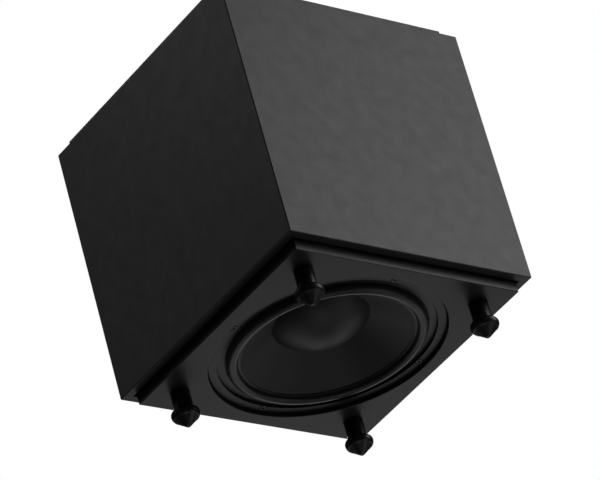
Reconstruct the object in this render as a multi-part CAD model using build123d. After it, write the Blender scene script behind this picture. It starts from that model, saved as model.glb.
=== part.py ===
from build123d import *
from math import cos, pi, radians, sin, sqrt, tan
import os

# Powered subwoofer in a cube cabinet: the woofer fires down through the bottom panel,
# four turned feet hold it above the floor, and the amplifier plate is let into the rear.
# Millimetres. X is to the right, the front faces -Y, +Z is up, and Z = 0 is the floor.
# The origin is the centre of the footprint.

# ---- driving dimensions -----------------------------------------------------------------
CUBE = 340.0                 # outer side of the four cabinet walls
WALL = 18.0                  # board thickness
LIP = 10.4                   # thickness left at the wall ends, outside the rebates
EDGE_ROUND = 1.0             # rounding on outer edges
FOOT_HEIGHT = 45.0           # floor to the underside of the bottom panel
PANEL_PROUD = 13.0           # the bottom panel stands this far below the wall ends
PANEL_INSET = 13.2           # bottom panel edge to the cabinet's outer face
TOP_PROUD = 14.0
TOP_INSET = 11.6
GROOVE_DEPTH = 10.0          # depth of the shadow gap round each panel

half = CUBE / 2
inner = half - WALL
rebate = half - LIP
wall_low = FOOT_HEIGHT + PANEL_PROUD
wall_high = wall_low + CUBE
board_low = wall_low + GROOVE_DEPTH          # underside of the inner bottom board
board_high = board_low + WALL
lid_low = wall_high - GROOVE_DEPTH - WALL    # underside of the inner top board
lid_high = wall_high - GROOVE_DEPTH
top_high = wall_high + TOP_PROUD

# woofer, measured from the panel's underside
RECESS_R = 138.7
FLANGE_R = 137.9
STEP_R = 127.6               # where the flange steps down to the surround's landing
FLANGE_DEPTH = 4.6
STEP_DEPTH = 8.0
SEAT_DEPTH = 13.0
HOLE_R = 122.5
SCREW_CIRCLE_R = 131.0
ROLL_OUTER_R = 118.0
ROLL_INNER_R = 103.2
ROLL_PROUD = 1.4             # the half roll's crest stands below the panel
CONE_SLOPE = 0.69            # rise for each millimetre inwards
CAP_R = 56.5
CAP_HEIGHT = 25.0
FORMER_R = 25.7
GAP_R = 26.9
POLE_R = 25.0
COIL_R = 26.5

flange_z = FOOT_HEIGHT + FLANGE_DEPTH
landing_z = FOOT_HEIGHT + STEP_DEPTH
seat_z = FOOT_HEIGHT + SEAT_DEPTH
cone_edge_z = FOOT_HEIGHT + 5.4
ledge_z = 109.0              # underside of the ledge that holds the spider
plate_z = 130.0              # underside of the motor's front plate
PLATE_THICK = 8.0
MAGNET_THICK = 26.0
MAGNET_R = 70.0
magnet_z = plate_z + PLATE_THICK
yoke_z = magnet_z + MAGNET_THICK
yoke_top = yoke_z + PLATE_THICK

# feet
FOOT_OFFSET = 123.0          # from the centre, along X and along Y
POST_R = 11.3
HEAD_R = 16.8
TIP_FLAT_R = 2.4
STUD_R = 4.0
RUNNING_GAP = 0.05

# amplifier
PLATE_W = 215.0
PLATE_H = 245.0
plate_mid = (wall_low + wall_high) / 2
plate_back = half - 9.0      # inner face of the plate
plate_face = half - 6.0      # outer face of the plate, sunk in the rear wall
GASKET = 1.5
board_y = 147.6              # circuit board face that carries the controls
CONTROL_Z = 305.0
SWITCH_Z = 272.0
KNOB_XS = (22.0, 66.0)
SOCKET_XS = (-62.0, -42.0)
INLET_X = -50.0
ROCKER_X = 0.0
ROCKER_Z = 145.0
ROCKER_TILT = 10.0
LOWER_Z = 145.0
BEZEL = 1.2                  # thickness of the line sockets' bezel
BARREL_R = 4.15              # line socket, outside
SHANK_R = 3.9                # the same barrel inside its moulding
BARREL_BORE_R = 3.1
BUSH_R = 4.0                 # rotary control's threaded bush
SHAFT_R = 3.0
LAMP_Z = CONTROL_Z + 27
BOARD_THICK = 1.6
BOARD_W = 172.0
BOARD_LOW = 256.0
BOARD_HIGH = 334.0
PILLAR_INSET = 6.0
CAN_R = 11.0
CAN_HEIGHT = 33.4
CAN_XS = (-56.0, -30.0)
CAN_Z = 295.0
RING_X = -46.0               # toroidal transformer
RING_Z = 210.0
RING_R = 36.0
RING_BORE_R = 12.0
RING_HEIGHT = 38.0
PAD = 2.0
SINK_LEFT = 10.0
SINK_RIGHT = 84.0
SINK_LOW = 172.0
SINK_HIGH = 246.0
FIN_PITCH = 9.0
FIN_HEIGHT = 50.0
WIRE_R = 1.1


# ---- helpers ----------------------------------------------------------------------------
def block(x0, x1, y0, y1, z0, z1):
    """Box between two corners."""
    middle = Pos((x0 + x1) / 2, (y0 + y1) / 2, (z0 + z1) / 2)
    return middle * Box(abs(x1 - x0), abs(y1 - y0), abs(z1 - z0))


def disc(radius, low, high, x=0.0, y=0.0):
    """Upright cylinder from low to high."""
    return Pos(x, y, (low + high) / 2) * Cylinder(radius, high - low)


def tube(outer, bore, low, high, x=0.0, y=0.0):
    """Upright ring."""
    return disc(outer, low, high, x, y) - disc(bore, low, high, x, y)


def rod(radius, y0, y1, x, z):
    """Cylinder along Y."""
    return Pos(x, (y0 + y1) / 2, z) * Rot(90, 0, 0) * Cylinder(radius, y1 - y0)


def turned(*lines):
    """Solid of revolution about Z from the closed outline of (radius, height) lines."""
    outline = Curve() + list(lines)
    return revolve(Plane.XZ * make_face(outline), Axis.Z)


def turned_polygon(*points):
    """Solid of revolution about Z from the corners of a (radius, height) outline."""
    return turned(Polyline(*points, close=True))


def group(solids):
    """Several separate solids in one node."""
    return Part() + list(solids)


def round_the_axis(count, start=0.0):
    """Rotations evenly spaced about Z."""
    return [Rot(0, 0, start + i * 360 / count) for i in range(count)]


def four_corners(x, y):
    return [(sx * x, sy * y) for sx in (-1, 1) for sy in (-1, 1)]


def flexible_lead(points, radius):
    """Round lead along straight runs joined by arcs as large as the runs allow."""
    corners = [Vector(*p) for p in points]
    radii = []
    for before, at, after in zip(corners, corners[1:], corners[2:]):
        shorter = min((at - before).length, (after - at).length)
        turn = (at - before).get_angle(after - at)
        radii.append(0.45 * shorter / tan(radians(turn / 2)))
    path = FilletPolyline(*corners, radius=radii)
    start = Plane(origin=path @ 0, z_dir=path % 0)
    lead = sweep(start * Circle(radius), path=path)
    section = pi * radius ** 2
    print("lead radii", [round(r, 1) for r in radii], "length", round(path.length, 1),
          "volume over section times length", round(lead.volume / (section * path.length), 4))
    return lead


# ---- cabinet ----------------------------------------------------------------------------
def cabinet_wall(turn):
    """One mitred wall, rebated at both ends for the inner boards, turned about Z."""
    plan = Polyline((-half, -half), (half, -half), (inner, -inner), (-inner, -inner), close=True)
    wall = Pos(0, 0, wall_low) * extrude(make_face(plan), CUBE)
    wall -= block(-rebate, rebate, -rebate, rebate, wall_low, board_high)
    wall -= block(-rebate, rebate, -rebate, rebate, lid_low, wall_high)
    rounded_cube = fillet(Box(CUBE, CUBE, CUBE).edges(), EDGE_ROUND)
    wall = wall & Pos(0, 0, plate_mid) * rounded_cube
    return Rot(0, 0, turn) * wall


def rear_wall():
    """Rear wall with the amplifier's opening and the sunk seat for its plate."""
    wall = cabinet_wall(180)
    seat_back = plate_back - GASKET
    seat = block(-PLATE_W / 2 - 0.5, PLATE_W / 2 + 0.5, seat_back, half + 1,
                 plate_mid - PLATE_H / 2 - 0.5, plate_mid + PLATE_H / 2 + 0.5)
    opening = block(-PLATE_W / 2 + 12, PLATE_W / 2 - 12, inner - 1, half + 1,
                    plate_mid - PLATE_H / 2 + 12, plate_mid + PLATE_H / 2 - 12)
    wall -= fillet(seat.edges().filter_by(Axis.Y), 6.5)
    wall -= fillet(opening.edges().filter_by(Axis.Y), 6.5)
    for screw in plate_screws():
        wall -= screw
    return wall


def proud_panel(inset, low, high):
    """Square panel with softly rounded edges."""
    side = half - inset
    return fillet(block(-side, side, -side, side, low, high).edges(), EDGE_ROUND)


def foot_places():
    """Front left, rear left, front right, rear right."""
    return four_corners(FOOT_OFFSET, FOOT_OFFSET)


def panel_screw(x, y, seat, direction):
    """Countersunk wood screw whose head is flush with the board face at seat."""
    head = Pos(0, 0, 1.5) * Cone(4.0, 2.0, 3.0)
    shank = disc(2.0, 2.9, 30.0)
    turn = 0 if direction > 0 else 180
    return Pos(x, y, seat) * Rot(turn, 0, 0) * (head + shank)


def panel_screws():
    """Eight screws down into the bottom panel and eight up into the top panel."""
    places = four_corners(142, 62) + four_corners(62, 142)
    down = [panel_screw(x, y, board_high, -1) for x, y in places]
    up = [panel_screw(x, y, lid_low, 1) for x, y in places]
    return down + up


def baffle_panel():
    """Bottom panel: stepped opening for the woofer and bores for the feet."""
    panel = proud_panel(PANEL_INSET, FOOT_HEIGHT, board_low)
    recess = disc(RECESS_R, FOOT_HEIGHT, seat_z)
    panel -= recess
    rim = [e for e in panel.edges().filter_by(GeomType.CIRCLE) if abs(e.radius - RECESS_R) < 0.01]
    panel = fillet([e for e in rim if abs(e.center().Z - FOOT_HEIGHT) < 0.01], EDGE_ROUND)
    panel -= disc(HOLE_R, seat_z - 1, board_low + 1)
    for x, y in foot_places():
        panel -= disc(4.6, FOOT_HEIGHT - 1, board_low, x, y)
        panel -= disc(5.5, FOOT_HEIGHT + 3, board_low, x, y)
        panel -= disc(9.0, board_low - 1.5, board_low, x, y)
    for screw in panel_screws() + driver_screws():
        panel -= screw
    return panel


def bottom_board():
    board = block(-rebate, rebate, -rebate, rebate, board_low, board_high)
    board -= disc(HOLE_R, board_low - 1, board_high + 1)
    for screw in panel_screws():
        board -= screw
    return board


def top_board():
    board = block(-rebate, rebate, -rebate, rebate, lid_low, lid_high)
    for screw in panel_screws():
        board -= screw
    return board


def top_panel():
    panel = proud_panel(TOP_INSET, lid_high, top_high)
    for screw in panel_screws():
        panel -= screw
    return panel


def damping_wadding():
    """Pad of polyester wadding under the top board."""
    pad = block(-138, 138, -138, 84, 322, 366)
    return fillet(pad.edges(), 14)


# ---- woofer -----------------------------------------------------------------------------
def driver_gasket():
    ring = tube(FLANGE_R - 0.5, HOLE_R + 0.5, seat_z - 1, seat_z)
    for screw in driver_screws():
        ring -= screw
    return ring


def driver_basket():
    """Cast basket: stepped flange, six arms, spider ledge and motor seat."""
    back = seat_z - 1
    basket = turned_polygon(
        (FLANGE_R, flange_z), (STEP_R, flange_z), (STEP_R, landing_z + 1),
        (ROLL_OUTER_R - 0.5, landing_z + 1), (82, ledge_z), (72, ledge_z), (63, plate_z - 3),
        (46, plate_z - 3), (46, plate_z), (65.5, plate_z), (75, ledge_z + 3), (85, ledge_z + 3),
        (121.5, back), (FLANGE_R, back))
    for turn in round_the_axis(6, 30):
        basket -= turn * block(84, 125, -32, 32, back + 6, ledge_z - 6)
    for turn in round_the_axis(6):
        basket -= turn * block(50, 74, -15, 15, ledge_z + 5, plate_z - 5)
    for turn in round_the_axis(4):
        basket -= turn * disc(5.0, flange_z - 1, flange_z + 2.6, SCREW_CIRCLE_R)
        basket -= turn * disc(2.5, flange_z, back + 1, SCREW_CIRCLE_R)
    rim = [e for e in basket.edges().filter_by(GeomType.CIRCLE) if abs(e.radius - FLANGE_R) < 0.01]
    return fillet([e for e in rim if abs(e.center().Z - flange_z) < 0.01], 0.8)


def driver_screw():
    """Socket head wood screw, sunk in the flange."""
    head = disc(4.1, flange_z - 0.5, flange_z + 2.6)
    head = chamfer(head.edges().group_by(Axis.Z)[0], 0.5)
    socket = Pos(0, 0, flange_z + 0.3) * extrude(RegularPolygon(2.0, 6), 1.8, both=True)
    return Pos(SCREW_CIRCLE_R, 0, 0) * (head - socket + disc(2.0, flange_z + 2.5, board_low - 2))


def driver_screws():
    return [turn * driver_screw() for turn in round_the_axis(4)]


def surround():
    """Rubber half roll with a flat landing at each side, about a millimetre thick."""
    low = landing_z
    crest = FOOT_HEIGHT - ROLL_PROUD
    middle = (ROLL_OUTER_R + ROLL_INNER_R) / 2
    inner_low = cone_edge_z - 1.0
    return turned(
        Line((STEP_R - 0.4, low), (ROLL_OUTER_R, low)),
        ThreePointArc((ROLL_OUTER_R, low), (middle, crest), (ROLL_INNER_R, inner_low)),
        Line((ROLL_INNER_R, inner_low), (ROLL_INNER_R - 3, inner_low)),
        Line((ROLL_INNER_R - 3, inner_low), (ROLL_INNER_R - 3, cone_edge_z)),
        Line((ROLL_INNER_R - 3, cone_edge_z), (ROLL_INNER_R + 0.9, cone_edge_z)),
        ThreePointArc((ROLL_INNER_R + 0.9, cone_edge_z), (middle, crest + 1.1),
                      (ROLL_OUTER_R - 0.9, low + 1)),
        Line((ROLL_OUTER_R - 0.9, low + 1), (STEP_R - 0.4, low + 1)),
        Line((STEP_R - 0.4, low + 1), (STEP_R - 0.4, low)))


def cone_height(radius):
    """Height of the cone's lower, visible face."""
    return cone_edge_z + (ROLL_INNER_R - 2.2 - radius) * CONE_SLOPE


def cone():
    edge = ROLL_INNER_R - 2.2
    return turned_polygon(
        (ROLL_INNER_R, cone_edge_z), (edge, cone_edge_z), (FORMER_R, cone_height(FORMER_R)),
        (FORMER_R, cone_height(FORMER_R) + 1.7), (edge - 0.4, cone_edge_z + 1.7),
        (ROLL_INNER_R, cone_edge_z + 1.3))


def dome_lines(edge_r, edge_z, height, thick):
    """Outline of a dome that bulges down, closed at the axis."""
    outer = (edge_r ** 2 + height ** 2) / (2 * height)
    centre = edge_z - height + outer
    shell = outer - thick
    slope = 0.5 * edge_r / outer
    inner_edge = sqrt(shell ** 2 - (centre - edge_z) ** 2)
    return (
        ThreePointArc((edge_r, edge_z), (outer * slope, centre - outer * sqrt(1 - slope ** 2)),
                      (0, centre - outer)),
        Line((0, centre - outer), (0, centre - shell)),
        ThreePointArc((0, centre - shell), (shell * slope, centre - shell * sqrt(1 - slope ** 2)),
                      (inner_edge, edge_z)),
        Line((inner_edge, edge_z), (edge_r, edge_z)))


def dust_cap():
    return turned(*dome_lines(CAP_R, cone_height(CAP_R) - 0.1, CAP_HEIGHT, 0.8))


def spider():
    return tube(81.5, FORMER_R + 0.4, ledge_z - 1, ledge_z)


def coil_former():
    return tube(FORMER_R, FORMER_R - 0.3, cone_height(FORMER_R) - 3, 148)


def voice_coil():
    return tube(COIL_R, FORMER_R, 122, 146)


def front_plate():
    return tube(62, GAP_R, plate_z, magnet_z)


def magnet_ring():
    ring = tube(MAGNET_R, 34, magnet_z, yoke_z)
    return chamfer(ring.edges().filter_by(GeomType.CIRCLE), 1.0)


def pole_yoke():
    """Back plate and pole in one, with a vent through the pole."""
    yoke = disc(62, yoke_z, yoke_top) + disc(POLE_R, plate_z - 2, yoke_z)
    return yoke - disc(9, plate_z - 3, yoke_top + 1)


def magnet_boot():
    """Rubber cover over the magnet, open at the vent."""
    boot = disc(73, magnet_z + 2, yoke_top + 2.7) - disc(MAGNET_R + 0.3, magnet_z, yoke_top + 0.2)
    boot -= disc(14, yoke_top - 1, yoke_top + 4)
    return fillet(boot.edges().group_by(Axis.Z)[-1].sort_by(SortBy.LENGTH)[-1:], 1.5)


def terminal_board():
    """Insulating strip on the spider ledge with two solder tabs."""
    top = ledge_z + 5
    strip = block(76.5, 84, -14, 14, ledge_z + 3, top)
    tabs = [block(78, 94, y - 3, y + 3, top, top + 0.8) for y in (-8, 8)]
    return strip + tabs[0] + tabs[1]


def tinsel_leads():
    """Two braided leads from the tabs to the coil former, with slack for the travel."""
    start = ledge_z + 6.7
    leads = []
    for y in (-8, 8):
        route = [(82, y, start), (71, y, start + 4), (60, y, start + 2), (49, y, start - 1.5),
                 (38, y, start + 2), (27.5, y, start + 1)]
        leads.append(flexible_lead(route, 0.8))
    return group(leads)


# ---- feet -------------------------------------------------------------------------------
def foot(x, y):
    """Turned foot: a round post and a bulbous head that ends in a blunt cone."""
    shoulder = (HEAD_R, 15.6)
    profile = turned(
        Line((0, 0), (TIP_FLAT_R, 0)),
        Line((TIP_FLAT_R, 0), (13.2, 9.8)),
        ThreePointArc((13.2, 9.8), (16.0, 12.6), shoulder),
        ThreePointArc(shoulder, (15.9, 18.8), (13.2, 20.6)),
        ThreePointArc((13.2, 20.6), (11.8, 21.6), (POST_R, 23.0)),
        Line((POST_R, 23.0), (POST_R, FOOT_HEIGHT)),
        Line((POST_R, FOOT_HEIGHT), (0, FOOT_HEIGHT)),
        Line((0, FOOT_HEIGHT), (0, 0)))
    bore = disc(STUD_R + RUNNING_GAP, 25.6, FOOT_HEIGHT + 1)
    return Pos(x, y, 0) * (profile - bore)


def foot_stud(x, y):
    """Threaded stud, shown plain, from the foot into the insert."""
    stud = disc(STUD_R, 26, board_low - 1)
    return Pos(x, y, 0) * chamfer(stud.edges(), 0.6)


def foot_insert(x, y):
    """Flanged threaded insert pressed into the bottom panel."""
    barrel = disc(5.5, FOOT_HEIGHT + 3, board_low - 1.5) + disc(9.0, board_low - 1.5, board_low)
    return Pos(x, y, 0) * (barrel - disc(STUD_R + RUNNING_GAP, FOOT_HEIGHT, board_low + 1))


# ---- amplifier --------------------------------------------------------------------------
def plate_screw(x, z):
    head = rod(3.9, plate_face, plate_face + 2.2, x, z)
    head = fillet(head.edges().group_by(Axis.Y)[-1], 1.4)
    cross = block(x - 2, x + 2, plate_face + 1, plate_face + 3, z - 0.4, z + 0.4)
    cross += block(x - 0.4, x + 0.4, plate_face + 1, plate_face + 3, z - 2, z + 2)
    return head + rod(1.9, inner + 1, plate_face + 0.1, x, z) - cross


def plate_screws():
    """Ten screws near the plate's edge."""
    across = PLATE_W / 2 - 6
    up = PLATE_H / 2 - 6
    places = [(sx * across, plate_mid + dz) for sx in (-1, 1) for dz in (-up, -up / 3, up / 3, up)]
    places += [(0, plate_mid + sz * up) for sz in (-1, 1)]
    return [plate_screw(x, z) for x, z in places]


def amp_gasket():
    frame = block(-PLATE_W / 2, PLATE_W / 2, plate_back - GASKET, plate_back,
                  plate_mid - PLATE_H / 2, plate_mid + PLATE_H / 2)
    frame = fillet(frame.edges().filter_by(Axis.Y), 6)
    frame -= block(-PLATE_W / 2 + 13, PLATE_W / 2 - 13, plate_back - 3, plate_back + 1,
                   plate_mid - PLATE_H / 2 + 13, plate_mid + PLATE_H / 2 - 13)
    for screw in plate_screws():
        frame -= screw
    return frame


def amp_plate():
    """Flat steel plate pierced for the sockets, controls, switches and screws."""
    plate = block(-PLATE_W / 2, PLATE_W / 2, plate_back, plate_face,
                  plate_mid - PLATE_H / 2, plate_mid + PLATE_H / 2)
    plate = fillet(plate.edges().filter_by(Axis.Y), 6)
    for screw in plate_screws():
        plate -= screw
    for x in KNOB_XS:
        plate -= rod(BUSH_R + 0.1, plate_back - 1, plate_face + 1, x, CONTROL_Z)
        plate -= block(x - 3.9, x + 3.9, plate_back - 1, plate_face + 1, SWITCH_Z - 1.9, SWITCH_Z + 1.9)
    for x in SOCKET_XS:
        plate -= rod(5.2, plate_back - 1, plate_face + 1, x, CONTROL_Z)
    plate -= rod(1.6, plate_back - 1, plate_face + 1, 0, LAMP_Z)
    plate -= block(INLET_X - 14, INLET_X + 14, plate_back - 1, plate_face + 1, LOWER_Z - 19, LOWER_Z + 19)
    plate -= block(ROCKER_X - 8, ROCKER_X + 8, plate_back - 1, plate_face + 1,
                   ROCKER_Z - 12, ROCKER_Z + 12)
    return plate


def knob(x):
    """Fluted control knob with a pointer groove, bored for the shaft."""
    low = plate_face + 0.6
    high = low + 10.2
    body = rod(8.0, low, high, x, CONTROL_Z)
    body = chamfer(body.edges().group_by(Axis.Y)[-1], 0.8)
    for i in range(18):
        turn = radians(i * 20 + 10)
        body -= rod(0.7, low - 1, high - 2.2, x + 8.2 * cos(turn), CONTROL_Z + 8.2 * sin(turn))
    body -= block(x - 0.5, x + 0.5, high - 0.6, high + 1, CONTROL_Z + 1.5, CONTROL_Z + 9)
    return body - rod(SHAFT_R + RUNNING_GAP, low - 1, high - 2, x, CONTROL_Z)


def control_pots():
    """Two rotary controls with their bushes and shafts."""
    pots = []
    for x in KNOB_XS:
        pot = block(x - 8, x + 8, board_y, plate_back, CONTROL_Z - 9, CONTROL_Z + 9)
        pot += rod(BUSH_R, plate_back - 1, plate_face, x, CONTROL_Z)
        pots.append(pot + rod(SHAFT_R, plate_face - 1, plate_face + 8, x, CONTROL_Z))
    return group(pots)


def switch_bodies():
    bodies = []
    for x in KNOB_XS:
        body = block(x - 8, x + 8, board_y, plate_back, SWITCH_Z - 4.5, SWITCH_Z + 4.5)
        bodies.append(body - block(x - 5.2, x + 5.2, plate_back - 5, plate_back + 1,
                                   SWITCH_Z - 2.4, SWITCH_Z + 2.4))
    return group(bodies)


def switch_lever(x):
    """Slide switch lever at the left end of its travel."""
    at = x - 2
    base = block(at - 2.8, at + 2.8, plate_back - 4.6, plate_back - 0.4, SWITCH_Z - 2, SWITCH_Z + 2)
    stem = block(at - 1.5, at + 1.5, plate_back - 0.4, plate_face + 3.6, SWITCH_Z - 1.5, SWITCH_Z + 1.5)
    return base + stem


def rca_block():
    """Moulded body behind the line input sockets, with a thin bezel on the plate."""
    low, high = min(SOCKET_XS) - 10, max(SOCKET_XS) + 10
    part = block(low, high, board_y, plate_back, CONTROL_Z - 8, CONTROL_Z + 8)
    for x in SOCKET_XS:
        part += rod(5.1, plate_back - 1, plate_face + BEZEL, x, CONTROL_Z)
    bezel = block(low, high, plate_face, plate_face + BEZEL, CONTROL_Z - 8, CONTROL_Z + 8)
    part += fillet(bezel.edges().filter_by(Axis.Y), 3)
    for x in SOCKET_XS:
        part -= rod(SHANK_R, plate_back, plate_face + 2, x, CONTROL_Z)
    return part


def rca_shells():
    """Plated socket barrels, each on a narrower shank held in the moulding."""
    shells = []
    for x in SOCKET_XS:
        barrel = rod(BARREL_R, plate_face + BEZEL, plate_face + 9.4, x, CONTROL_Z)
        barrel += rod(SHANK_R, plate_back, plate_face + BEZEL, x, CONTROL_Z)
        shells.append(barrel - rod(BARREL_BORE_R, plate_back + 1.5, plate_face + 10, x, CONTROL_Z))
    return group(shells)


def status_led():
    lamp = rod(1.5, plate_back - 5, plate_face + 1.0, 0, LAMP_Z)
    lamp = fillet(lamp.edges().group_by(Axis.Y)[-1], 1.2)
    return lamp + rod(2.0, plate_back - 6, plate_back - 0.5, 0, LAMP_Z)


def inlet_pin_blocks():
    """Earth blade above the two supply blades, seen from behind the plate."""
    places = [(INLET_X - 7, LOWER_Z + 7), (INLET_X + 7, LOWER_Z + 7), (INLET_X, LOWER_Z + 11)]
    return [block(x - 1, x + 1, 132, 160.4, z - 2, z + 2) for x, z in places]


def mains_inlet():
    """Recessed three blade inlet with a fuse drawer slot below it."""
    flange = block(INLET_X - 17, INLET_X + 17, plate_face, plate_face + 2, LOWER_Z - 21, LOWER_Z + 21)
    flange = fillet(flange.edges().filter_by(Axis.Y), 3)
    body = flange + block(INLET_X - 14, INLET_X + 14, 140, plate_face + 1, LOWER_Z - 19, LOWER_Z + 19)
    socket = block(INLET_X - 12, INLET_X + 12, 148, plate_face + 3, LOWER_Z + 1, LOWER_Z + 17)
    upper = socket.edges().filter_by(Axis.Y).group_by(Axis.Z)[-1]
    body -= chamfer(upper, 4)
    body -= block(INLET_X - 12.2, INLET_X + 12.2, 145, plate_face + 3, LOWER_Z - 16.2, LOWER_Z - 7.8)
    for pin in inlet_pin_blocks():
        body -= pin
    return body


def fuse_drawer():
    """Sliding carrier with a face plate and a trough for the fuse."""
    body = block(INLET_X - 11.9, INLET_X + 11.9, 146, plate_face + 2, LOWER_Z - 15.9, LOWER_Z - 8.1)
    body += block(INLET_X - 12.8, INLET_X + 12.8, plate_face + 2, plate_face + 3.6,
                  LOWER_Z - 16.8, LOWER_Z - 7.2)
    body -= block(INLET_X - 10.4, INLET_X + 10.4, 149.2, 154.8, LOWER_Z - 14.6, LOWER_Z - 8)
    return body


def fuse():
    """Glass cartridge fuse lying across the drawer."""
    shape = Rot(0, 90, 0) * Cylinder(2.5, 20)
    return Pos(INLET_X, 152, LOWER_Z - 12) * shape


def rocker_housing():
    bezel = block(ROCKER_X - 10, ROCKER_X + 10, plate_face, plate_face + 1.6,
                  ROCKER_Z - 14, ROCKER_Z + 14)
    bezel = fillet(bezel.edges().filter_by(Axis.Y), 2)
    body = bezel + block(ROCKER_X - 8, ROCKER_X + 8, 144, plate_face + 1, ROCKER_Z - 12, ROCKER_Z + 12)
    body -= block(ROCKER_X - 5.9, ROCKER_X + 5.9, 149, plate_face + 3, ROCKER_Z - 9.8, ROCKER_Z + 9.8)
    pivot = Pos(ROCKER_X, plate_face - 4, ROCKER_Z) * Rot(0, 90, 0)
    return body - pivot * Cylinder(1.5 + RUNNING_GAP, 15)


def mains_rocker():
    """Rocker with a hollow top, two pivot pins and round ends, resting at one end of its tilt."""
    drum = Rot(0, 90, 0) * Cylinder(9.4, 11)
    left_half = drum & Rot(ROCKER_TILT, 0, 0) * Pos(0, -1, 0) * Box(12, 13, 40)
    right_half = drum & Rot(-ROCKER_TILT, 0, 0) * Pos(0, -1, 0) * Box(12, 13, 40)
    paddle = (left_half + right_half) & Pos(0, 3, 0) * Box(12, 14, 40)
    pins = Rot(0, 90, 0) * Cylinder(1.5, 14.6)
    return Pos(ROCKER_X, plate_face - 4, ROCKER_Z) * Rot(ROCKER_TILT, 0, 0) * (paddle + pins)


def pillar_places():
    across = BOARD_W / 2 - PILLAR_INSET
    heights = (BOARD_LOW + PILLAR_INSET, BOARD_HIGH - PILLAR_INSET)
    return [(x, z) for x in (-across, across) for z in heights]


def circuit_board():
    board = block(-BOARD_W / 2, BOARD_W / 2, board_y - BOARD_THICK, board_y, BOARD_LOW, BOARD_HIGH)
    for x, z in pillar_places():
        board -= rod(1.6, board_y - 3, board_y + 1, x, z)
    return board


def board_pillars():
    """Four spacers with their screws that hold the circuit board off the plate."""
    back = board_y - BOARD_THICK
    pillars = []
    for x, z in pillar_places():
        pillar = rod(3.0, board_y, plate_back, x, z) + rod(1.6, back, board_y + 1, x, z)
        pillars.append(pillar + rod(2.8, back - 2.2, back, x, z))
    return group(pillars)


def capacitors():
    """Two large reservoir capacitors on the circuit board."""
    back = board_y - BOARD_THICK
    cans = []
    for x in CAN_XS:
        can = rod(CAN_R, back - CAN_HEIGHT, back, x, CAN_Z)
        cans.append(fillet(can.edges().group_by(Axis.Y)[0], 1.2))
    return group(cans)


def transformer():
    """Toroidal mains transformer: a wound ring with rounded corners."""
    back = plate_back - PAD
    coil = rod(RING_R, back - RING_HEIGHT, back, RING_X, RING_Z)
    coil = fillet(coil.edges().filter_by(GeomType.CIRCLE), 8)
    return coil - rod(RING_BORE_R, back - RING_HEIGHT - 5, back + 2, RING_X, RING_Z)


def transformer_bolt():
    """Dished washer, pad and bolt that clamp the transformer to the plate."""
    far = plate_back - PAD - RING_HEIGHT
    bolt = rod(3, far - 6, plate_back, RING_X, RING_Z) + rod(5.5, far - 6, far - 2, RING_X, RING_Z)
    washer = rod(24, far - 2, far, RING_X, RING_Z)
    pad = rod(30, plate_back - PAD, plate_back, RING_X, RING_Z)
    return bolt + washer + pad


def heat_sink():
    """Finned aluminium block behind the plate."""
    sink = block(SINK_LEFT, SINK_RIGHT, plate_back - 8, plate_back, SINK_LOW, SINK_HIGH)
    for i in range(9):
        x = SINK_LEFT + i * FIN_PITCH
        sink += block(x, x + 2, plate_back - 30, plate_back - 7, SINK_LOW, SINK_LOW + FIN_HEIGHT)
    return sink


def power_transistors():
    places = (24, 52)
    back = plate_back - 8
    return group([block(x, x + 16, back - 5, back, SINK_HIGH - 22, SINK_HIGH - 2) for x in places])


def speaker_wires():
    """Two insulated wires from the circuit board to the woofer's tabs."""
    top = ledge_z + 5.8
    wires = []
    for shift in (-1, 1):
        y = 8 * shift
        side = 5 * shift
        route = [(88, y, top + 1.2), (103, y, top + 3), (116, y + 8, top + 12),
                 (122 - side, 36 + y, top + 28), (124 - side, 64 + y, top + 54),
                 (122 - side, 84, top + 84), (114 - side, 96 - side, top + 116),
                 (98 - side, 108, top + 140), (84 - side, 124, top + 150),
                 (72 - side, 134, top + 156), (67 - side, board_y - 3.2, top + 157)]
        wires.append(flexible_lead(route, WIRE_R))
    return group(wires)


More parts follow.
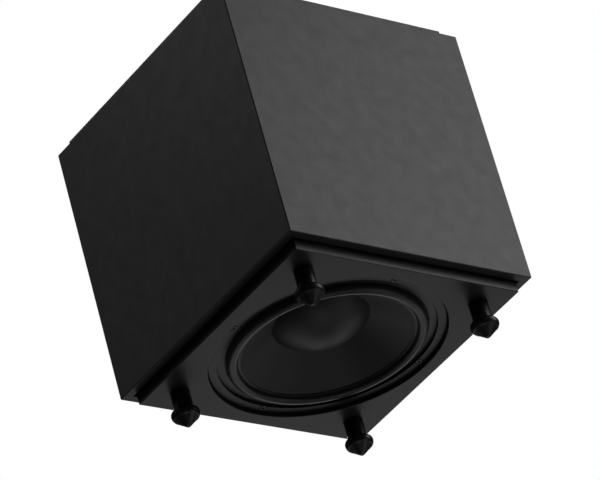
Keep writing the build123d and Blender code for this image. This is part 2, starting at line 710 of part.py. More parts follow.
# ---- write every node -------------------------------------------------------------------
def nodes():
    made = {
        "front_wall": cabinet_wall(0),
        "right_wall": cabinet_wall(90),
        "rear_wall": rear_wall(),
        "left_wall": cabinet_wall(270),
        "bottom_board": bottom_board(),
        "top_board": top_board(),
        "baffle_panel": baffle_panel(),
        "top_panel": top_panel(),
        "damping_wadding": damping_wadding(),
        "panel_screws": group(panel_screws()),
        "driver_gasket": driver_gasket(),
        "driver_basket": driver_basket(),
        "driver_screws": group(driver_screws()),
        "surround": surround(),
        "cone": cone(),
        "dust_cap": dust_cap(),
        "spider": spider(),
        "coil_former": coil_former(),
        "voice_coil": voice_coil(),
        "front_plate": front_plate(),
        "magnet_ring": magnet_ring(),
        "pole_yoke": pole_yoke(),
        "magnet_boot": magnet_boot(),
        "terminal_board": terminal_board(),
        "tinsel_leads": tinsel_leads(),
        "foot_inserts": group([foot_insert(x, y) for x, y in foot_places()]),
        "amp_plate": amp_plate(),
        "amp_gasket": amp_gasket(),
        "amp_screws": group(plate_screws()),
        "volume_knob": knob(KNOB_XS[0]),
        "crossover_knob": knob(KNOB_XS[1]),
        "control_pots": control_pots(),
        "switch_bodies": switch_bodies(),
        "phase_switch": switch_lever(KNOB_XS[0]),
        "power_mode_switch": switch_lever(KNOB_XS[1]),
        "rca_block": rca_block(),
        "rca_shells": rca_shells(),
        "status_led": status_led(),
        "mains_inlet": mains_inlet(),
        "inlet_pins": group(inlet_pin_blocks()),
        "fuse_drawer": fuse_drawer(),
        "fuse": fuse(),
        "rocker_housing": rocker_housing(),
        "mains_rocker": mains_rocker(),
        "circuit_board": circuit_board(),
        "board_pillars": board_pillars(),
        "capacitors": capacitors(),
        "transformer": transformer(),
        "transformer_bolt": transformer_bolt(),
        "heat_sink": heat_sink(),
        "power_transistors": power_transistors(),
        "speaker_wires": speaker_wires(),
    }
    names = ("front_left", "rear_left", "front_right", "rear_right")
    for name, (x, y) in zip(names, foot_places()):
        made["foot_" + name] = foot(x, y)
        made["stud_" + name] = foot_stud(x, y)
    return made


os.makedirs("parts", exist_ok=True)
for node, shape in nodes().items():
    export_step(shape, "parts/" + node + ".step")
    print(node, "solids", len(shape.solids()), "volume", round(shape.volume, 1))
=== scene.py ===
import logging
import math
from dataclasses import dataclass
from enum import Enum
from typing import Optional, Sequence

import bpy
import numpy as np
from mathutils import Matrix, Vector


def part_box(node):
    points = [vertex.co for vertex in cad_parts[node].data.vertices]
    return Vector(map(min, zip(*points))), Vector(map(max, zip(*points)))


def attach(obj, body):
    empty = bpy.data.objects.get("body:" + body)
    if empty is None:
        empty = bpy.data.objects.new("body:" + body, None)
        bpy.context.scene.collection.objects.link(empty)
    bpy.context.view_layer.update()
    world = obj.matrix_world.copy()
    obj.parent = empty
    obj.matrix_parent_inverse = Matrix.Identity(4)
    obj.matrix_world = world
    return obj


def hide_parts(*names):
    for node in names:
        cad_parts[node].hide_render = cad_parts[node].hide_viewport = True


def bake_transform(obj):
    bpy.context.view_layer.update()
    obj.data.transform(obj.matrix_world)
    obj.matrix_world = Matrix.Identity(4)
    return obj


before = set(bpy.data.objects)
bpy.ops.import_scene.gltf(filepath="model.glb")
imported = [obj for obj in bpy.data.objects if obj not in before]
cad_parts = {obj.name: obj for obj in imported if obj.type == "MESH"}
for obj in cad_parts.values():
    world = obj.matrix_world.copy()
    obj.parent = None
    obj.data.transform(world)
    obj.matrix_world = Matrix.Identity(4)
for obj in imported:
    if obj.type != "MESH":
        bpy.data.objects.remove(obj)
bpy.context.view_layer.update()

# Powered subwoofer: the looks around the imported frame.
# Metres, in the frame's own axes: +X right, the front faces -Y, +Z up, floor at Z = 0.
# The woofer's soft and turned parts, the feet, knobs and windings are surfaces worked out
# here; the boards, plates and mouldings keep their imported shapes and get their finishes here.

log = logging.getLogger("subwoofer")

Colour = tuple[float, float, float]
Socket = bpy.types.NodeSocket
MM = 0.001


class Axis(Enum):
    """The row axis that a turned piece is turned about."""

    X = 0
    Y = 1
    Z = 2


# ---------------------------------------------------------------- surfaces -------------


@dataclass
class Surface:
    """A closed surface: points, and faces of four or three corners.

    Args:
        points: One row per corner.
        quads: Corner indices, four to a face.
        tris: Corner indices, three to a face.
    """

    points: np.ndarray
    quads: np.ndarray
    tris: np.ndarray

    def outward(self) -> "Surface":
        """Turns the faces round if the enclosed volume comes out negative.

        The volume is the sum over triangles of a . (b x c) / 6.

        Returns:
            The surface itself, with its faces pointing out.
        """
        halves = [self.quads[:, [0, 1, 2]], self.quads[:, [0, 2, 3]], self.tris]
        corners = self.points[np.concatenate(halves)]
        crossed = np.cross(corners[:, 1], corners[:, 2])
        if np.einsum("ij,ij->", corners[:, 0], crossed) < 0:
            self.quads = self.quads[:, ::-1]
            self.tris = self.tris[:, ::-1]
        return self

    def moved(self, offset: Sequence[float]) -> "Surface":
        """Returns a copy shifted by offset."""
        return Surface(self.points + np.array(offset, float), self.quads.copy(), self.tris.copy())

    def tilted(self, degrees: float, about: Axis, pivot: Sequence[float]) -> "Surface":
        """Returns a copy turned by degrees about an axis through pivot."""
        turn = np.array(Matrix.Rotation(math.radians(degrees), 3, about.name))
        centre = np.array(pivot, float)
        return Surface((self.points - centre) @ turn.T + centre, self.quads.copy(), self.tris.copy())


def joined(parts: Sequence[Surface]) -> Surface:
    """Puts several closed surfaces into one.

    Args:
        parts: The surfaces, each already closed.

    Returns:
        One surface that holds them all.
    """
    starts = np.cumsum([0] + [len(part.points) for part in parts[:-1]])
    return Surface(
        np.concatenate([part.points for part in parts]),
        np.concatenate([part.quads + start for part, start in zip(parts, starts)]),
        np.concatenate([part.tris + start for part, start in zip(parts, starts)]),
    )


def lattice(rows: int, columns: int, close_rows: bool, close_columns: bool) -> np.ndarray:
    """Faces of a grid of corners numbered row by row.

    Args:
        rows: Corners down.
        columns: Corners across.
        close_rows: Whether the last row meets the first.
        close_columns: Whether the last column meets the first.

    Returns:
        One row of four corner indices per face.
    """
    down = np.arange(rows if close_rows else rows - 1)[:, None]
    across = np.arange(columns if close_columns else columns - 1)[None, :]
    below, beside = (down + 1) % rows, (across + 1) % columns
    corners = [down * columns + across, below * columns + across,
               below * columns + beside, down * columns + beside]
    return np.stack(corners, axis=-1).reshape(-1, 4)


def fan(rim: np.ndarray, tip: int) -> np.ndarray:
    """Triangles from a ring of corner indices to one corner."""
    return np.stack([rim, np.roll(rim, -1), np.full(len(rim), tip)], axis=1)


def swept_rings(rings: np.ndarray) -> Surface:
    """Skin over rings of corners, closed at both ends by the middle of the end ring.

    Args:
        rings: Array of ring, corner, coordinate.

    Returns:
        The closed skin.
    """
    count, around = rings.shape[:2]
    ends = np.stack([rings[0].mean(axis=0), rings[-1].mean(axis=0)])
    points = np.concatenate([rings.reshape(-1, 3), ends])
    first = np.arange(around)
    last = first[::-1] + (count - 1) * around
    tris = np.concatenate([fan(first[::-1], count * around), fan(last[::-1], count * around + 1)])
    return Surface(points, lattice(count, around, False, True), tris).outward()


def turn_points(radius: np.ndarray, height: np.ndarray, angle: np.ndarray, axis: Axis) -> np.ndarray:
    """Places radius, height and angle about an axis: (r cos a, r sin a, h), then reordered."""
    across, up = radius * np.cos(angle), radius * np.sin(angle)
    order = {Axis.X: (height, across, up), Axis.Y: (across, height, up), Axis.Z: (across, up, height)}
    return np.stack(np.broadcast_arrays(*order[axis]), axis=-1)


def turned(profile: np.ndarray, steps: int, axis: Axis = Axis.Z, ring: bool = False) -> Surface:
    """Turns a profile of (radius, height) about an axis.

    Each corner is (r(u) cos v, r(u) sin v, h(u)), u along the profile and v once round.

    Args:
        profile: Radius and height, one row per step.
        steps: Corners once round.
        axis: The axis that it is turned about.
        ring: True if the profile is a loop, as for a ring; otherwise the ends are closed.

    Returns:
        The closed surface.
    """
    angle = np.linspace(0, 2 * np.pi, steps, endpoint=False)[None, :]
    rings = turn_points(profile[:, :1], profile[:, 1:2], angle, axis)
    if not ring:
        return swept_rings(rings)
    faces = lattice(len(profile), steps, True, True)
    return Surface(rings.reshape(-1, 3), faces, np.zeros((0, 3), int)).outward()


def arc(start: Sequence[float], through: Sequence[float], end: Sequence[float], steps: int) -> np.ndarray:
    """Circular arc through three points, start and end included.

    The centre is where the chords' perpendicular bisectors meet.
    """
    a, b, c = (np.array(p, float) for p in (start, through, end))
    rows = 2 * np.array([b - a, c - a])
    centre = np.linalg.solve(rows, np.array([b @ b - a @ a, c @ c - a @ a]))
    angles = np.unwrap([math.atan2(*(p - centre)[::-1]) for p in (a, b, c)])
    sweep = np.linspace(angles[0], angles[2], steps)
    return centre + np.linalg.norm(a - centre) * np.stack([np.cos(sweep), np.sin(sweep)], axis=1)


def eased(profile: np.ndarray, reach: int, loop: bool = False) -> np.ndarray:
    """Softens a profile's corners by a running mean of 2 * reach + 1 points.

    Args:
        profile: Evenly spaced points.
        reach: Points taken in at each side.
        loop: Whether the profile closes on itself; if not, the two ends stay.

    Returns:
        The softened profile.
    """
    mode = "wrap" if loop else "edge"
    padded = np.pad(profile, ((reach, reach), (0, 0)), mode=mode)
    width = 2 * reach + 1
    soft = np.stack([np.convolve(column, np.ones(width) / width, "valid") for column in padded.T], axis=1)
    if not loop:
        soft[0], soft[-1] = profile[0], profile[-1]
    return soft


def spaced(corners: np.ndarray, step: float, loop: bool = False) -> np.ndarray:
    """Points every step along straight runs between corners."""
    runs = np.concatenate([corners, corners[:1]]) if loop else corners
    lengths = np.linalg.norm(np.diff(runs, axis=0), axis=1)
    marks = np.concatenate([[0], np.cumsum(lengths)])
    count = max(8, int(round(marks[-1] / step)))
    at = np.linspace(0, marks[-1], count, endpoint=not loop)
    return np.stack([np.interp(at, marks, runs[:, i]) for i in range(runs.shape[1])], axis=1)


def thickened(centre: np.ndarray, thickness: float) -> np.ndarray:
    """Loop round a centre line: the line pushed half the thickness to each side along its normal."""
    along = np.gradient(centre, axis=0)
    along /= np.linalg.norm(along, axis=1, keepdims=True)
    normal = np.stack([-along[:, 1], along[:, 0]], axis=1) * thickness / 2
    return np.concatenate([centre + normal, (centre - normal)[::-1]])


def slab(low: Sequence[float], high: Sequence[float]) -> Surface:
    """Plain box between two corners, for marks a few tenths of a millimetre thick."""
    picks = np.array([[(i >> bit) & 1 for bit in (0, 1, 2)] for i in range(8)])
    points = np.where(picks == 1, np.array(high, float), np.array(low, float))
    quads = np.array([[0, 1, 3, 2], [4, 6, 7, 5], [0, 4, 5, 1], [2, 3, 7, 6], [0, 2, 6, 4], [1, 5, 7, 3]])
    return Surface(points, quads, np.zeros((0, 3), int)).outward()


def smooth_route(points: Sequence[Sequence[float]]) -> np.ndarray:
    """Follows the NURBS spline of order 3 whose control points are the route's.

    Args:
        points: The route, in metres.

    Returns:
        Points along the spline.
    """
    curve = bpy.data.curves.new("route", "CURVE")
    curve.dimensions = "3D"
    curve.resolution_u = 10
    spline = curve.splines.new("NURBS")
    spline.points.add(len(points) - 1)
    spline.points.foreach_set("co", np.pad(np.array(points, float), ((0, 0), (0, 1)),
                                           constant_values=1).ravel())
    spline.order_u = 3
    spline.use_endpoint_u = True
    holder = bpy.data.objects.new("route", curve)
    bpy.context.scene.collection.objects.link(holder)
    mesh = bpy.data.meshes.new_from_object(holder)
    found = np.zeros(len(mesh.vertices) * 3, np.float32)
    mesh.vertices.foreach_get("co", found)
    bpy.data.objects.remove(holder)
    bpy.data.curves.remove(curve)
    bpy.data.meshes.remove(mesh)
    return found.reshape(-1, 3).astype(float)


def tube_along(path: np.ndarray, radius: float, around: int, ridge: float = 0.0,
               strands: int = 0, twist: float = 0.0) -> Surface:
    """Round tube along a path, with strands that wind round it.

    A ring's radius is radius - ridge * |sin(strands * (v - twist * s) / 2)|, with v once round and
    s the length so far. The ring's frame is carried along the path by the least turn.

    Args:
        path: Points along the middle.
        radius: Outer radius.
        around: Corners once round.
        ridge: Depth between strands.
        strands: Strands once round.
        twist: Turn of the strands, in radians to a metre.

    Returns:
        The closed tube.
    """
    along = np.gradient(path, axis=0)
    along /= np.linalg.norm(along, axis=1, keepdims=True)
    side = np.cross(along[0], (0.31, 0.17, 0.93))
    sides = []
    for tangent in along:
        side = side - (side @ tangent) * tangent
        side = side / np.linalg.norm(side)
        sides.append(side)
    sides = np.array(sides)
    other = np.cross(along, sides)
    length = np.concatenate([[0], np.cumsum(np.linalg.norm(np.diff(path, axis=0), axis=1))])
    angle = np.linspace(0, 2 * np.pi, around, endpoint=False)
    wave = np.abs(np.sin(strands * (angle[None, :] - twist * length[:, None]) / 2))
    reach = (radius - ridge * wave)[..., None]
    ring = np.cos(angle)[None, :, None] * sides[:, None, :] + np.sin(angle)[None, :, None] * other[:, None, :]
    return swept_rings(path[:, None, :] + reach * ring)


def piece(name: str, surface: Surface, sharp_degrees: float = 40.0) -> bpy.types.Object:
    """Makes a mesh object from a surface and links it to the scene.

    Args:
        name: The object's name.
        surface: Its points and faces.
        sharp_degrees: Edges that turn by more than this stay crisp.

    Returns:
        The object, at the origin, unturned and unscaled.
    """
    mesh = bpy.data.meshes.new(name)
    mesh.from_pydata(surface.points.tolist(), [], surface.quads.tolist() + surface.tris.tolist())
    mesh.polygons.foreach_set("use_smooth", np.ones(len(mesh.polygons), bool))
    mesh.set_sharp_from_angle(angle=math.radians(sharp_degrees))
    mesh.update()
    thing = bpy.data.objects.new(name, mesh)
    bpy.context.scene.collection.objects.link(thing)
    return thing


def lay_uv(thing: bpy.types.Object, across: np.ndarray, along: np.ndarray) -> None:
    """Gives each corner of each face a UV from its point's two parameters."""
    layer = thing.data.uv_layers.new(name="along")
    index = np.zeros(len(thing.data.loops), np.int32)
    thing.data.loops.foreach_get("vertex_index", index)
    layer.data.foreach_set("uv", np.stack([across[index], along[index]], axis=1).astype(np.float32).ravel())


# ---------------------------------------------------------------- finishes -------------


class Graph:
    """Builds one material's nodes with short calls."""

    def __init__(self, name: str) -> None:
        """Starts an empty material that ends in one Principled shader.

        Args:
            name: The material's name.
        """
        self.material = bpy.data.materials.new(name)
        self.material.use_nodes = True
        self.tree = self.material.node_tree
        self.tree.nodes.clear()
        self.shader = self.tree.nodes.new("ShaderNodeBsdfPrincipled")
        output = self.tree.nodes.new("ShaderNodeOutputMaterial")
        self.tree.links.new(self.shader.outputs["BSDF"], output.inputs["Surface"])
        self.place = self.tree.nodes.new("ShaderNodeTexCoord").outputs["Object"]

    def link(self, value: object, socket: Socket) -> None:
        """Links a socket, or sets a number or colour."""
        if isinstance(value, bpy.types.NodeSocket):
            self.tree.links.new(value, socket)
        elif isinstance(value, tuple) and len(value) == 3 and socket.type == "RGBA":
            socket.default_value = (*value, 1.0)
        else:
            socket.default_value = value

    def stretched(self, scale: Colour, turn: Colour = (0.0, 0.0, 0.0),
                  centre: Colour = (0.0, 0.0, 0.0)) -> Socket:
        """Object coordinates moved so that centre is the origin, turned and scaled."""
        node = self.tree.nodes.new("ShaderNodeMapping")
        self.link(self.place, node.inputs["Vector"])
        node.inputs["Location"].default_value = tuple(-c * s for c, s in zip(centre, scale))
        node.inputs["Rotation"].default_value = turn
        node.inputs["Scale"].default_value = scale
        return node.outputs["Vector"]

    def noise(self, scale: float, detail: float = 4.0, rough: float = 0.55,
              where: Optional[Socket] = None) -> Socket:
        """Cloudy noise from 0 to 1."""
        node = self.tree.nodes.new("ShaderNodeTexNoise")
        self.link(where or self.place, node.inputs["Vector"])
        node.inputs["Scale"].default_value = scale
        node.inputs["Detail"].default_value = detail
        node.inputs["Roughness"].default_value = rough
        return node.outputs["Fac"]

    def cells(self, scale: float, where: Optional[Socket] = None, feature: str = "F1") -> Socket:
        """Distance inside rounded cells, for pebbled and cast surfaces."""
        node = self.tree.nodes.new("ShaderNodeTexVoronoi")
        node.feature = feature
        self.link(where or self.place, node.inputs["Vector"])
        node.inputs["Scale"].default_value = scale
        return node.outputs["Distance"]

    def maths(self, kind: str, first: object, second: object = 0.0) -> Socket:
        """One step of arithmetic."""
        node = self.tree.nodes.new("ShaderNodeMath")
        node.operation = kind
        self.link(first, node.inputs[0])
        self.link(second, node.inputs[1])
        return node.outputs[0]

    def part(self, axis: Axis, where: Optional[Socket] = None) -> Socket:
        """One coordinate of a vector."""
        node = self.tree.nodes.new("ShaderNodeSeparateXYZ")
        self.link(where or self.place, node.inputs[0])
        return node.outputs[axis.value]

    def spread(self, value: Socket, low: float, high: float, to_low: float, to_high: float) -> Socket:
        """Maps low..high to to_low..to_high, held at the ends."""
        node = self.tree.nodes.new("ShaderNodeMapRange")
        for name, number in (("From Min", low), ("From Max", high), ("To Min", to_low), ("To Max", to_high)):
            node.inputs[name].default_value = number
        self.link(value, node.inputs["Value"])
        return node.outputs["Result"]

    def blend(self, share: object, first: object, second: object, kind: str = "MIX") -> Socket:
        """Mixes two colours."""
        node = self.tree.nodes.new("ShaderNodeMix")
        node.data_type = "RGBA"
        node.blend_type = kind
        self.link(share, node.inputs["Factor"])
        self.link(first, node.inputs["A"])
        self.link(second, node.inputs["B"])
        return node.outputs["Result"]

    def bump(self, height: Socket, depth: float, strength: float = 1.0,
             over: Optional[Socket] = None) -> Socket:
        """Normal from a height of 0 to 1 that stands for depth metres."""
        node = self.tree.nodes.new("ShaderNodeBump")
        node.inputs["Strength"].default_value = strength
        node.inputs["Distance"].default_value = depth
        self.link(height, node.inputs["Height"])
        if over is not None:
            self.link(over, node.inputs["Normal"])
        return node.outputs["Normal"]

    def ring_turn(self, centre: Colour, axis: Axis) -> tuple[Socket, Socket]:
        """Radius and angle about an axis through centre.

        Args:
            centre: A point on the axis.
            axis: The axis.

        Returns:
            The distance from the axis and the angle round it in radians.
        """
        at = self.stretched((1.0, 1.0, 1.0), centre=centre)
        others = [a for a in Axis if a is not axis]
        first, second = (self.part(a, at) for a in others)
        squares = self.maths("ADD", self.maths("POWER", self.maths("ABSOLUTE", first), 2.0),
                             self.maths("POWER", self.maths("ABSOLUTE", second), 2.0))
        return self.maths("SQRT", squares), self.maths("ARCTAN2", second, first)

    def uv(self) -> Socket:
        """The piece's own UV map."""
        node = self.tree.nodes.new("ShaderNodeUVMap")
        node.uv_map = "along"
        return node.outputs["UV"]

    def finish(self, colour: object, roughness: object, normal: Optional[Socket] = None,
               **fixed: object) -> bpy.types.Material:
        """Sets the shader and returns the material.

        Args:
            colour: Base colour or a socket.
            roughness: Number or a socket.
            normal: Bump, if any.
            **fixed: Other shader inputs, with spaces written as underscores.

        Returns:
            The finished material.
        """
        self.link(colour, self.shader.inputs["Base Color"])
        self.link(roughness, self.shader.inputs["Roughness"])
        if normal is not None:
            self.link(normal, self.shader.inputs["Normal"])
        for name, value in fixed.items():
            self.link(value, self.shader.inputs[name.replace("_", " ")])
        return self.material


@dataclass(frozen=True)
class Finish:
    """What every finish has.

    Args:
        name: The material's name.
        colour: Its colour.
        roughness: Its mean roughness.
    """

    name: str
    colour: Colour
    roughness: float

    def tone(self, factor: float) -> Colour:
        """The colour made lighter or darker."""
        return tuple(min(1.0, c * factor) for c in self.colour)

    def material(self) -> bpy.types.Material:
        """Builds the material; each finish has its own."""
        raise NotImplementedError


@dataclass(frozen=True)
class WrappedBoard(Finish):
    """Satin foil over fibreboard: fine pebble, faint long waves, and a painted highlight that makes every
    edge paler, broken up by noise.

    Args:
        half: Half the box that the edges belong to, along X, Y and Z.
        centre: The middle of that box.
        edge_highlight: How much paler the painted edge highlight makes the edges.
        pebble: Pebbles to a metre.
    """

    half: Colour
    centre: Colour
    edge_highlight: float = 1.5
    pebble: float = 2600.0

    def edge_distance(self, graph: Graph) -> Socket:
        """Distance to the nearest edge: the second smallest of the distances to the three face pairs."""
        at = graph.stretched((1.0, 1.0, 1.0), centre=self.centre)
        a, b, c = (graph.maths("ABSOLUTE", graph.maths("SUBTRACT", size, graph.maths("ABSOLUTE",
                   graph.part(axis, at)))) for axis, size in zip(Axis, self.half))
        least, most = graph.maths("MINIMUM", a, b), graph.maths("MAXIMUM", a, b)
        return graph.maths("MAXIMUM", least, graph.maths("MINIMUM", most, c))

    def material(self) -> bpy.types.Material:
        """Builds the wrap."""
        g = Graph(self.name)
        pebble = g.cells(self.pebble)
        cloud = g.noise(3.2, 5.0)
        haze = g.noise(60.0, 3.0)
        # Painted highlight: within about 1.6 mm of an edge the colour is painted paler, broken up by noise,
        # and the edge is a little rougher.
        near = g.spread(self.edge_distance(g), 0.0002, 0.0016, 1.0, 0.0)
        edge_highlight_mask = g.maths("MULTIPLY", near, g.spread(g.noise(45.0, 6.0), 0.35, 0.7, 0.35, 1.0))
        base = g.blend(g.spread(cloud, 0.3, 0.7, 0.0, 1.0), self.tone(0.93), self.tone(1.07))
        # The painted edge highlight lightens the colour here.
        colour = g.blend(edge_highlight_mask, base, self.tone(self.edge_highlight))
        rough = g.maths("ADD", g.spread(haze, 0.25, 0.75, self.roughness - 0.03, self.roughness + 0.03),
                        g.maths("MULTIPLY", edge_highlight_mask, 0.06))
        long_wave = g.bump(g.noise(9.0, 2.0), 0.00006)
        normal = g.bump(pebble, 0.000018, over=long_wave)
        return g.finish(colour, rough, normal, Specular_IOR_Level=0.5)


@dataclass(frozen=True)
class BareBoard(Finish):
    """Cut fibreboard: brown, with short pale and dark fibres."""

    def material(self) -> bpy.types.Material:
        """Builds the board."""
        g = Graph(self.name)
        fibre = g.noise(420.0, 8.0, 0.7, g.stretched((1.0, 0.35, 2.2)))
        patch = g.noise(18.0, 4.0)
        flecks = g.spread(g.cells(700.0), 0.0, 0.35, 1.0, 0.0)
        colour = g.blend(g.spread(fibre, 0.3, 0.7, 0.0, 1.0), self.tone(0.72), self.tone(1.22))
        colour = g.blend(g.spread(patch, 0.3, 0.7, 0.0, 0.3), colour, self.tone(0.8))
        colour = g.blend(g.maths("MULTIPLY", flecks, 0.35), colour, self.tone(0.45))
        return g.finish(colour, g.spread(patch, 0.3, 0.7, self.roughness - 0.05, self.roughness + 0.05),
                        g.bump(fibre, 0.00012))


@dataclass(frozen=True)
class Moulded(Finish):
    """Moulded plastic: spark-eroded grain and slight haze.

    Args:
        grain: Grains to a metre.
        depth: Depth of the grain in metres.
        coat: Clear gloss over it.
    """

    grain: float = 1900.0
    depth: float = 0.00002
    coat: float = 0.0

    def material(self) -> bpy.types.Material:
        """Builds the plastic."""
        g = Graph(self.name)
        grain = g.noise(self.grain, 3.0, 0.6)
        haze = g.noise(75.0, 5.0)
        colour = g.blend(g.spread(haze, 0.3, 0.7, 0.0, 1.0), self.tone(0.88), self.tone(1.12))
        rough = g.spread(haze, 0.25, 0.75, self.roughness - 0.05, self.roughness + 0.05)
        return g.finish(colour, rough, g.bump(grain, self.depth), Coat_Weight=self.coat)


@dataclass(frozen=True)
class Coated(Finish):
    """Powder coat or oxide on metal: orange peel and sparse worn specks.

    Args:
        peel: Bumps to a metre.
        depth: Their height in metres.
        specks: How far the worn specks show.
    """

    peel: float = 900.0
    depth: float = 0.00005
    specks: float = 0.25

    def material(self) -> bpy.types.Material:
        """Builds the coat."""
        g = Graph(self.name)
        peel = g.cells(self.peel, feature="SMOOTH_F1")
        fine = g.noise(self.peel * 2.3, 3.0)
        cloud = g.noise(22.0, 4.0)
        worn = g.spread(g.noise(310.0, 2.0), 0.72, 0.78, 0.0, self.specks)
        colour = g.blend(g.spread(cloud, 0.3, 0.7, 0.0, 1.0), self.tone(0.85), self.tone(1.15))
        colour = g.blend(worn, colour, self.tone(2.6))
        rough = g.spread(cloud, 0.3, 0.7, self.roughness - 0.06, self.roughness + 0.06)
        normal = g.bump(fine, self.depth * 0.3, over=g.bump(peel, self.depth))
        return g.finish(colour, rough, normal)


@dataclass(frozen=True)
class Rubber(Finish):
    """Moulded rubber: silky, with a faint paler bloom in noisy patches.

    Args:
        bloom: How pale the bloom is.
    """

    bloom: float = 1.5

    def material(self) -> bpy.types.Material:
        """Builds the rubber."""
        g = Graph(self.name)
        bloom = g.noise(38.0, 6.0, 0.6)
        fine = g.noise(2400.0, 2.0)
        colour = g.blend(g.spread(bloom, 0.42, 0.72, 0.0, 0.6), self.colour, self.tone(self.bloom))
        rough = g.spread(bloom, 0.3, 0.7, self.roughness - 0.04, self.roughness + 0.07)
        return g.finish(colour, rough, g.bump(fine, 0.000012), Sheen_Weight=0.05)


@dataclass(frozen=True)
class TurnedSatin(Finish):
    """Lathe-turned piece: rings of tool marks about its own axis, and fine speckle.

    Args:
        centre: A point on the axis.
        axis: The axis.
        pitch: Distance between tool marks in metres.
        metal: Whether it is bare metal.
    """

    centre: Colour = (0.0, 0.0, 0.0)
    axis: Axis = Axis.Z
    pitch: float = 0.0004
    metal: float = 0.0

    def material(self) -> bpy.types.Material:
        """Builds the turned finish: the marks are a sine of radius plus height over the pitch."""
        g = Graph(self.name)
        radius, _ = g.ring_turn(self.centre, self.axis)
        along = g.maths("ADD", radius, g.part(self.axis))
        marks = g.maths("SINE", g.maths("MULTIPLY", along, 2 * math.pi / self.pitch))
        speck = g.noise(900.0, 4.0)
        cloud = g.noise(50.0, 4.0)
        colour = g.blend(g.spread(cloud, 0.3, 0.7, 0.0, 1.0), self.tone(0.85), self.tone(1.15))
        height = g.maths("ADD", g.spread(marks, -1.0, 1.0, 0.0, 0.35), speck)
        rough = g.spread(cloud, 0.3, 0.7, self.roughness - 0.05, self.roughness + 0.05)
        return g.finish(colour, rough, g.bump(height, 0.000014), Metallic=self.metal)


@dataclass(frozen=True)
class ConeSkin(Finish):
    """Moulded cone: short fibres that fan out from the middle, fine pits and a satin skin.

    Args:
        spokes: Streaks once round.
    """

    spokes: float = 70.0

    def material(self) -> bpy.types.Material:
        """Builds the skin; the streaks are noise over angle times spokes and radius."""
        g = Graph(self.name)
        radius, angle = g.ring_turn((0.0, 0.0, 0.0), Axis.Z)
        fold = g.tree.nodes.new("ShaderNodeCombineXYZ")
        g.link(g.maths("MULTIPLY", g.maths("ABSOLUTE", angle), self.spokes / math.pi), fold.inputs[0])
        g.link(g.maths("MULTIPLY", radius, 120.0), fold.inputs[1])
        streak = g.noise(1.0, 4.0, 0.6, fold.outputs[0])
        pits = g.cells(1500.0)
        cloud = g.noise(14.0, 4.0)
        colour = g.blend(g.spread(streak, 0.3, 0.7, 0.0, 1.0), self.tone(0.93), self.tone(1.07))
        colour = g.blend(g.spread(cloud, 0.3, 0.7, 0.0, 0.5), colour, self.tone(0.92))
        rough = g.spread(streak, 0.3, 0.7, self.roughness - 0.03, self.roughness + 0.03)
        return g.finish(colour, rough, g.bump(pits, 0.000012, over=g.bump(streak, 0.00002)))


@dataclass(frozen=True)
class Cloth(Finish):
    """Woven cloth: over and under threads along X and Y, fuzz, and stiffening resin.

    Args:
        threads: Threads to a metre.
    """

    threads: float = 1300.0

    def material(self) -> bpy.types.Material:
        """Builds the weave: the product of two sines, one for each thread direction."""
        g = Graph(self.name)
        turns = 2 * math.pi * self.threads / 2
        warp, weft = (g.maths("SINE", g.maths("MULTIPLY", g.part(a), turns)) for a in (Axis.X, Axis.Y))
        weave = g.spread(g.maths("MULTIPLY", warp, weft), -1.0, 1.0, 0.0, 1.0)
        fuzz = g.noise(1700.0, 4.0)
        cloud = g.noise(35.0, 4.0)
        colour = g.blend(weave, self.tone(0.62), self.tone(1.15))
        colour = g.blend(g.spread(cloud, 0.3, 0.7, 0.0, 0.4), colour, self.tone(0.75))
        height = g.maths("ADD", weave, g.maths("MULTIPLY", fuzz, 0.4))
        return g.finish(colour, g.spread(fuzz, 0.3, 0.7, 0.75, 0.95), g.bump(height, 0.00015),
                        Sheen_Weight=0.2)


@dataclass(frozen=True)
class Fibre(Finish):
    """Loose polyester wadding: tangled fine hairs."""

    def material(self) -> bpy.types.Material:
        """Builds the wadding."""
        g = Graph(self.name)
        hair = g.noise(420.0, 8.0, 0.75, g.stretched((1.0, 0.4, 1.6), (0.4, 0.2, 0.7)))
        other = g.noise(380.0, 8.0, 0.75, g.stretched((0.4, 1.3, 1.0), (0.1, 0.9, 0.2)))
        tangle = g.maths("MAXIMUM", hair, other)
        tuft = g.noise(22.0, 4.0)
        colour = g.blend(g.spread(tangle, 0.4, 0.75, 0.0, 1.0), self.tone(0.68), self.colour)
        colour = g.blend(g.spread(tuft, 0.3, 0.7, 0.0, 0.35), colour, self.tone(0.8))
        height = g.maths("ADD", g.maths("MULTIPLY", tuft, 2.0), tangle)
        return g.finish(colour, g.spread(tuft, 0.3, 0.7, 0.85, 0.97), g.bump(height, 0.0012),
                        Sheen_Weight=0.4)


@dataclass(frozen=True)
class Metal(Finish):
    """Plated or ground metal: streaks along one axis, stains and specks.

    Args:
        streak: Stretch of the grain along X, Y and Z; a small number makes long streaks.
        depth: Depth of the grain in metres.
    """

    streak: Colour = (1.0, 1.0, 0.1)
    depth: float = 0.00001

    def material(self) -> bpy.types.Material:
        """Builds the metal."""
        g = Graph(self.name)
        grain = g.noise(1400.0, 5.0, 0.6, g.stretched(self.streak))
        stain = g.noise(30.0, 6.0, 0.6)
        colour = g.blend(g.spread(stain, 0.35, 0.75, 0.0, 0.6), self.colour, self.tone(0.66))
        colour = g.blend(g.spread(grain, 0.3, 0.7, 0.0, 0.3), colour, self.tone(1.15))
        rough = g.maths("ADD", g.spread(grain, 0.3, 0.7, self.roughness - 0.06, self.roughness + 0.06),
                        g.spread(stain, 0.4, 0.7, 0.0, 0.12))
        return g.finish(colour, rough, g.bump(grain, self.depth), Metallic=1.0)


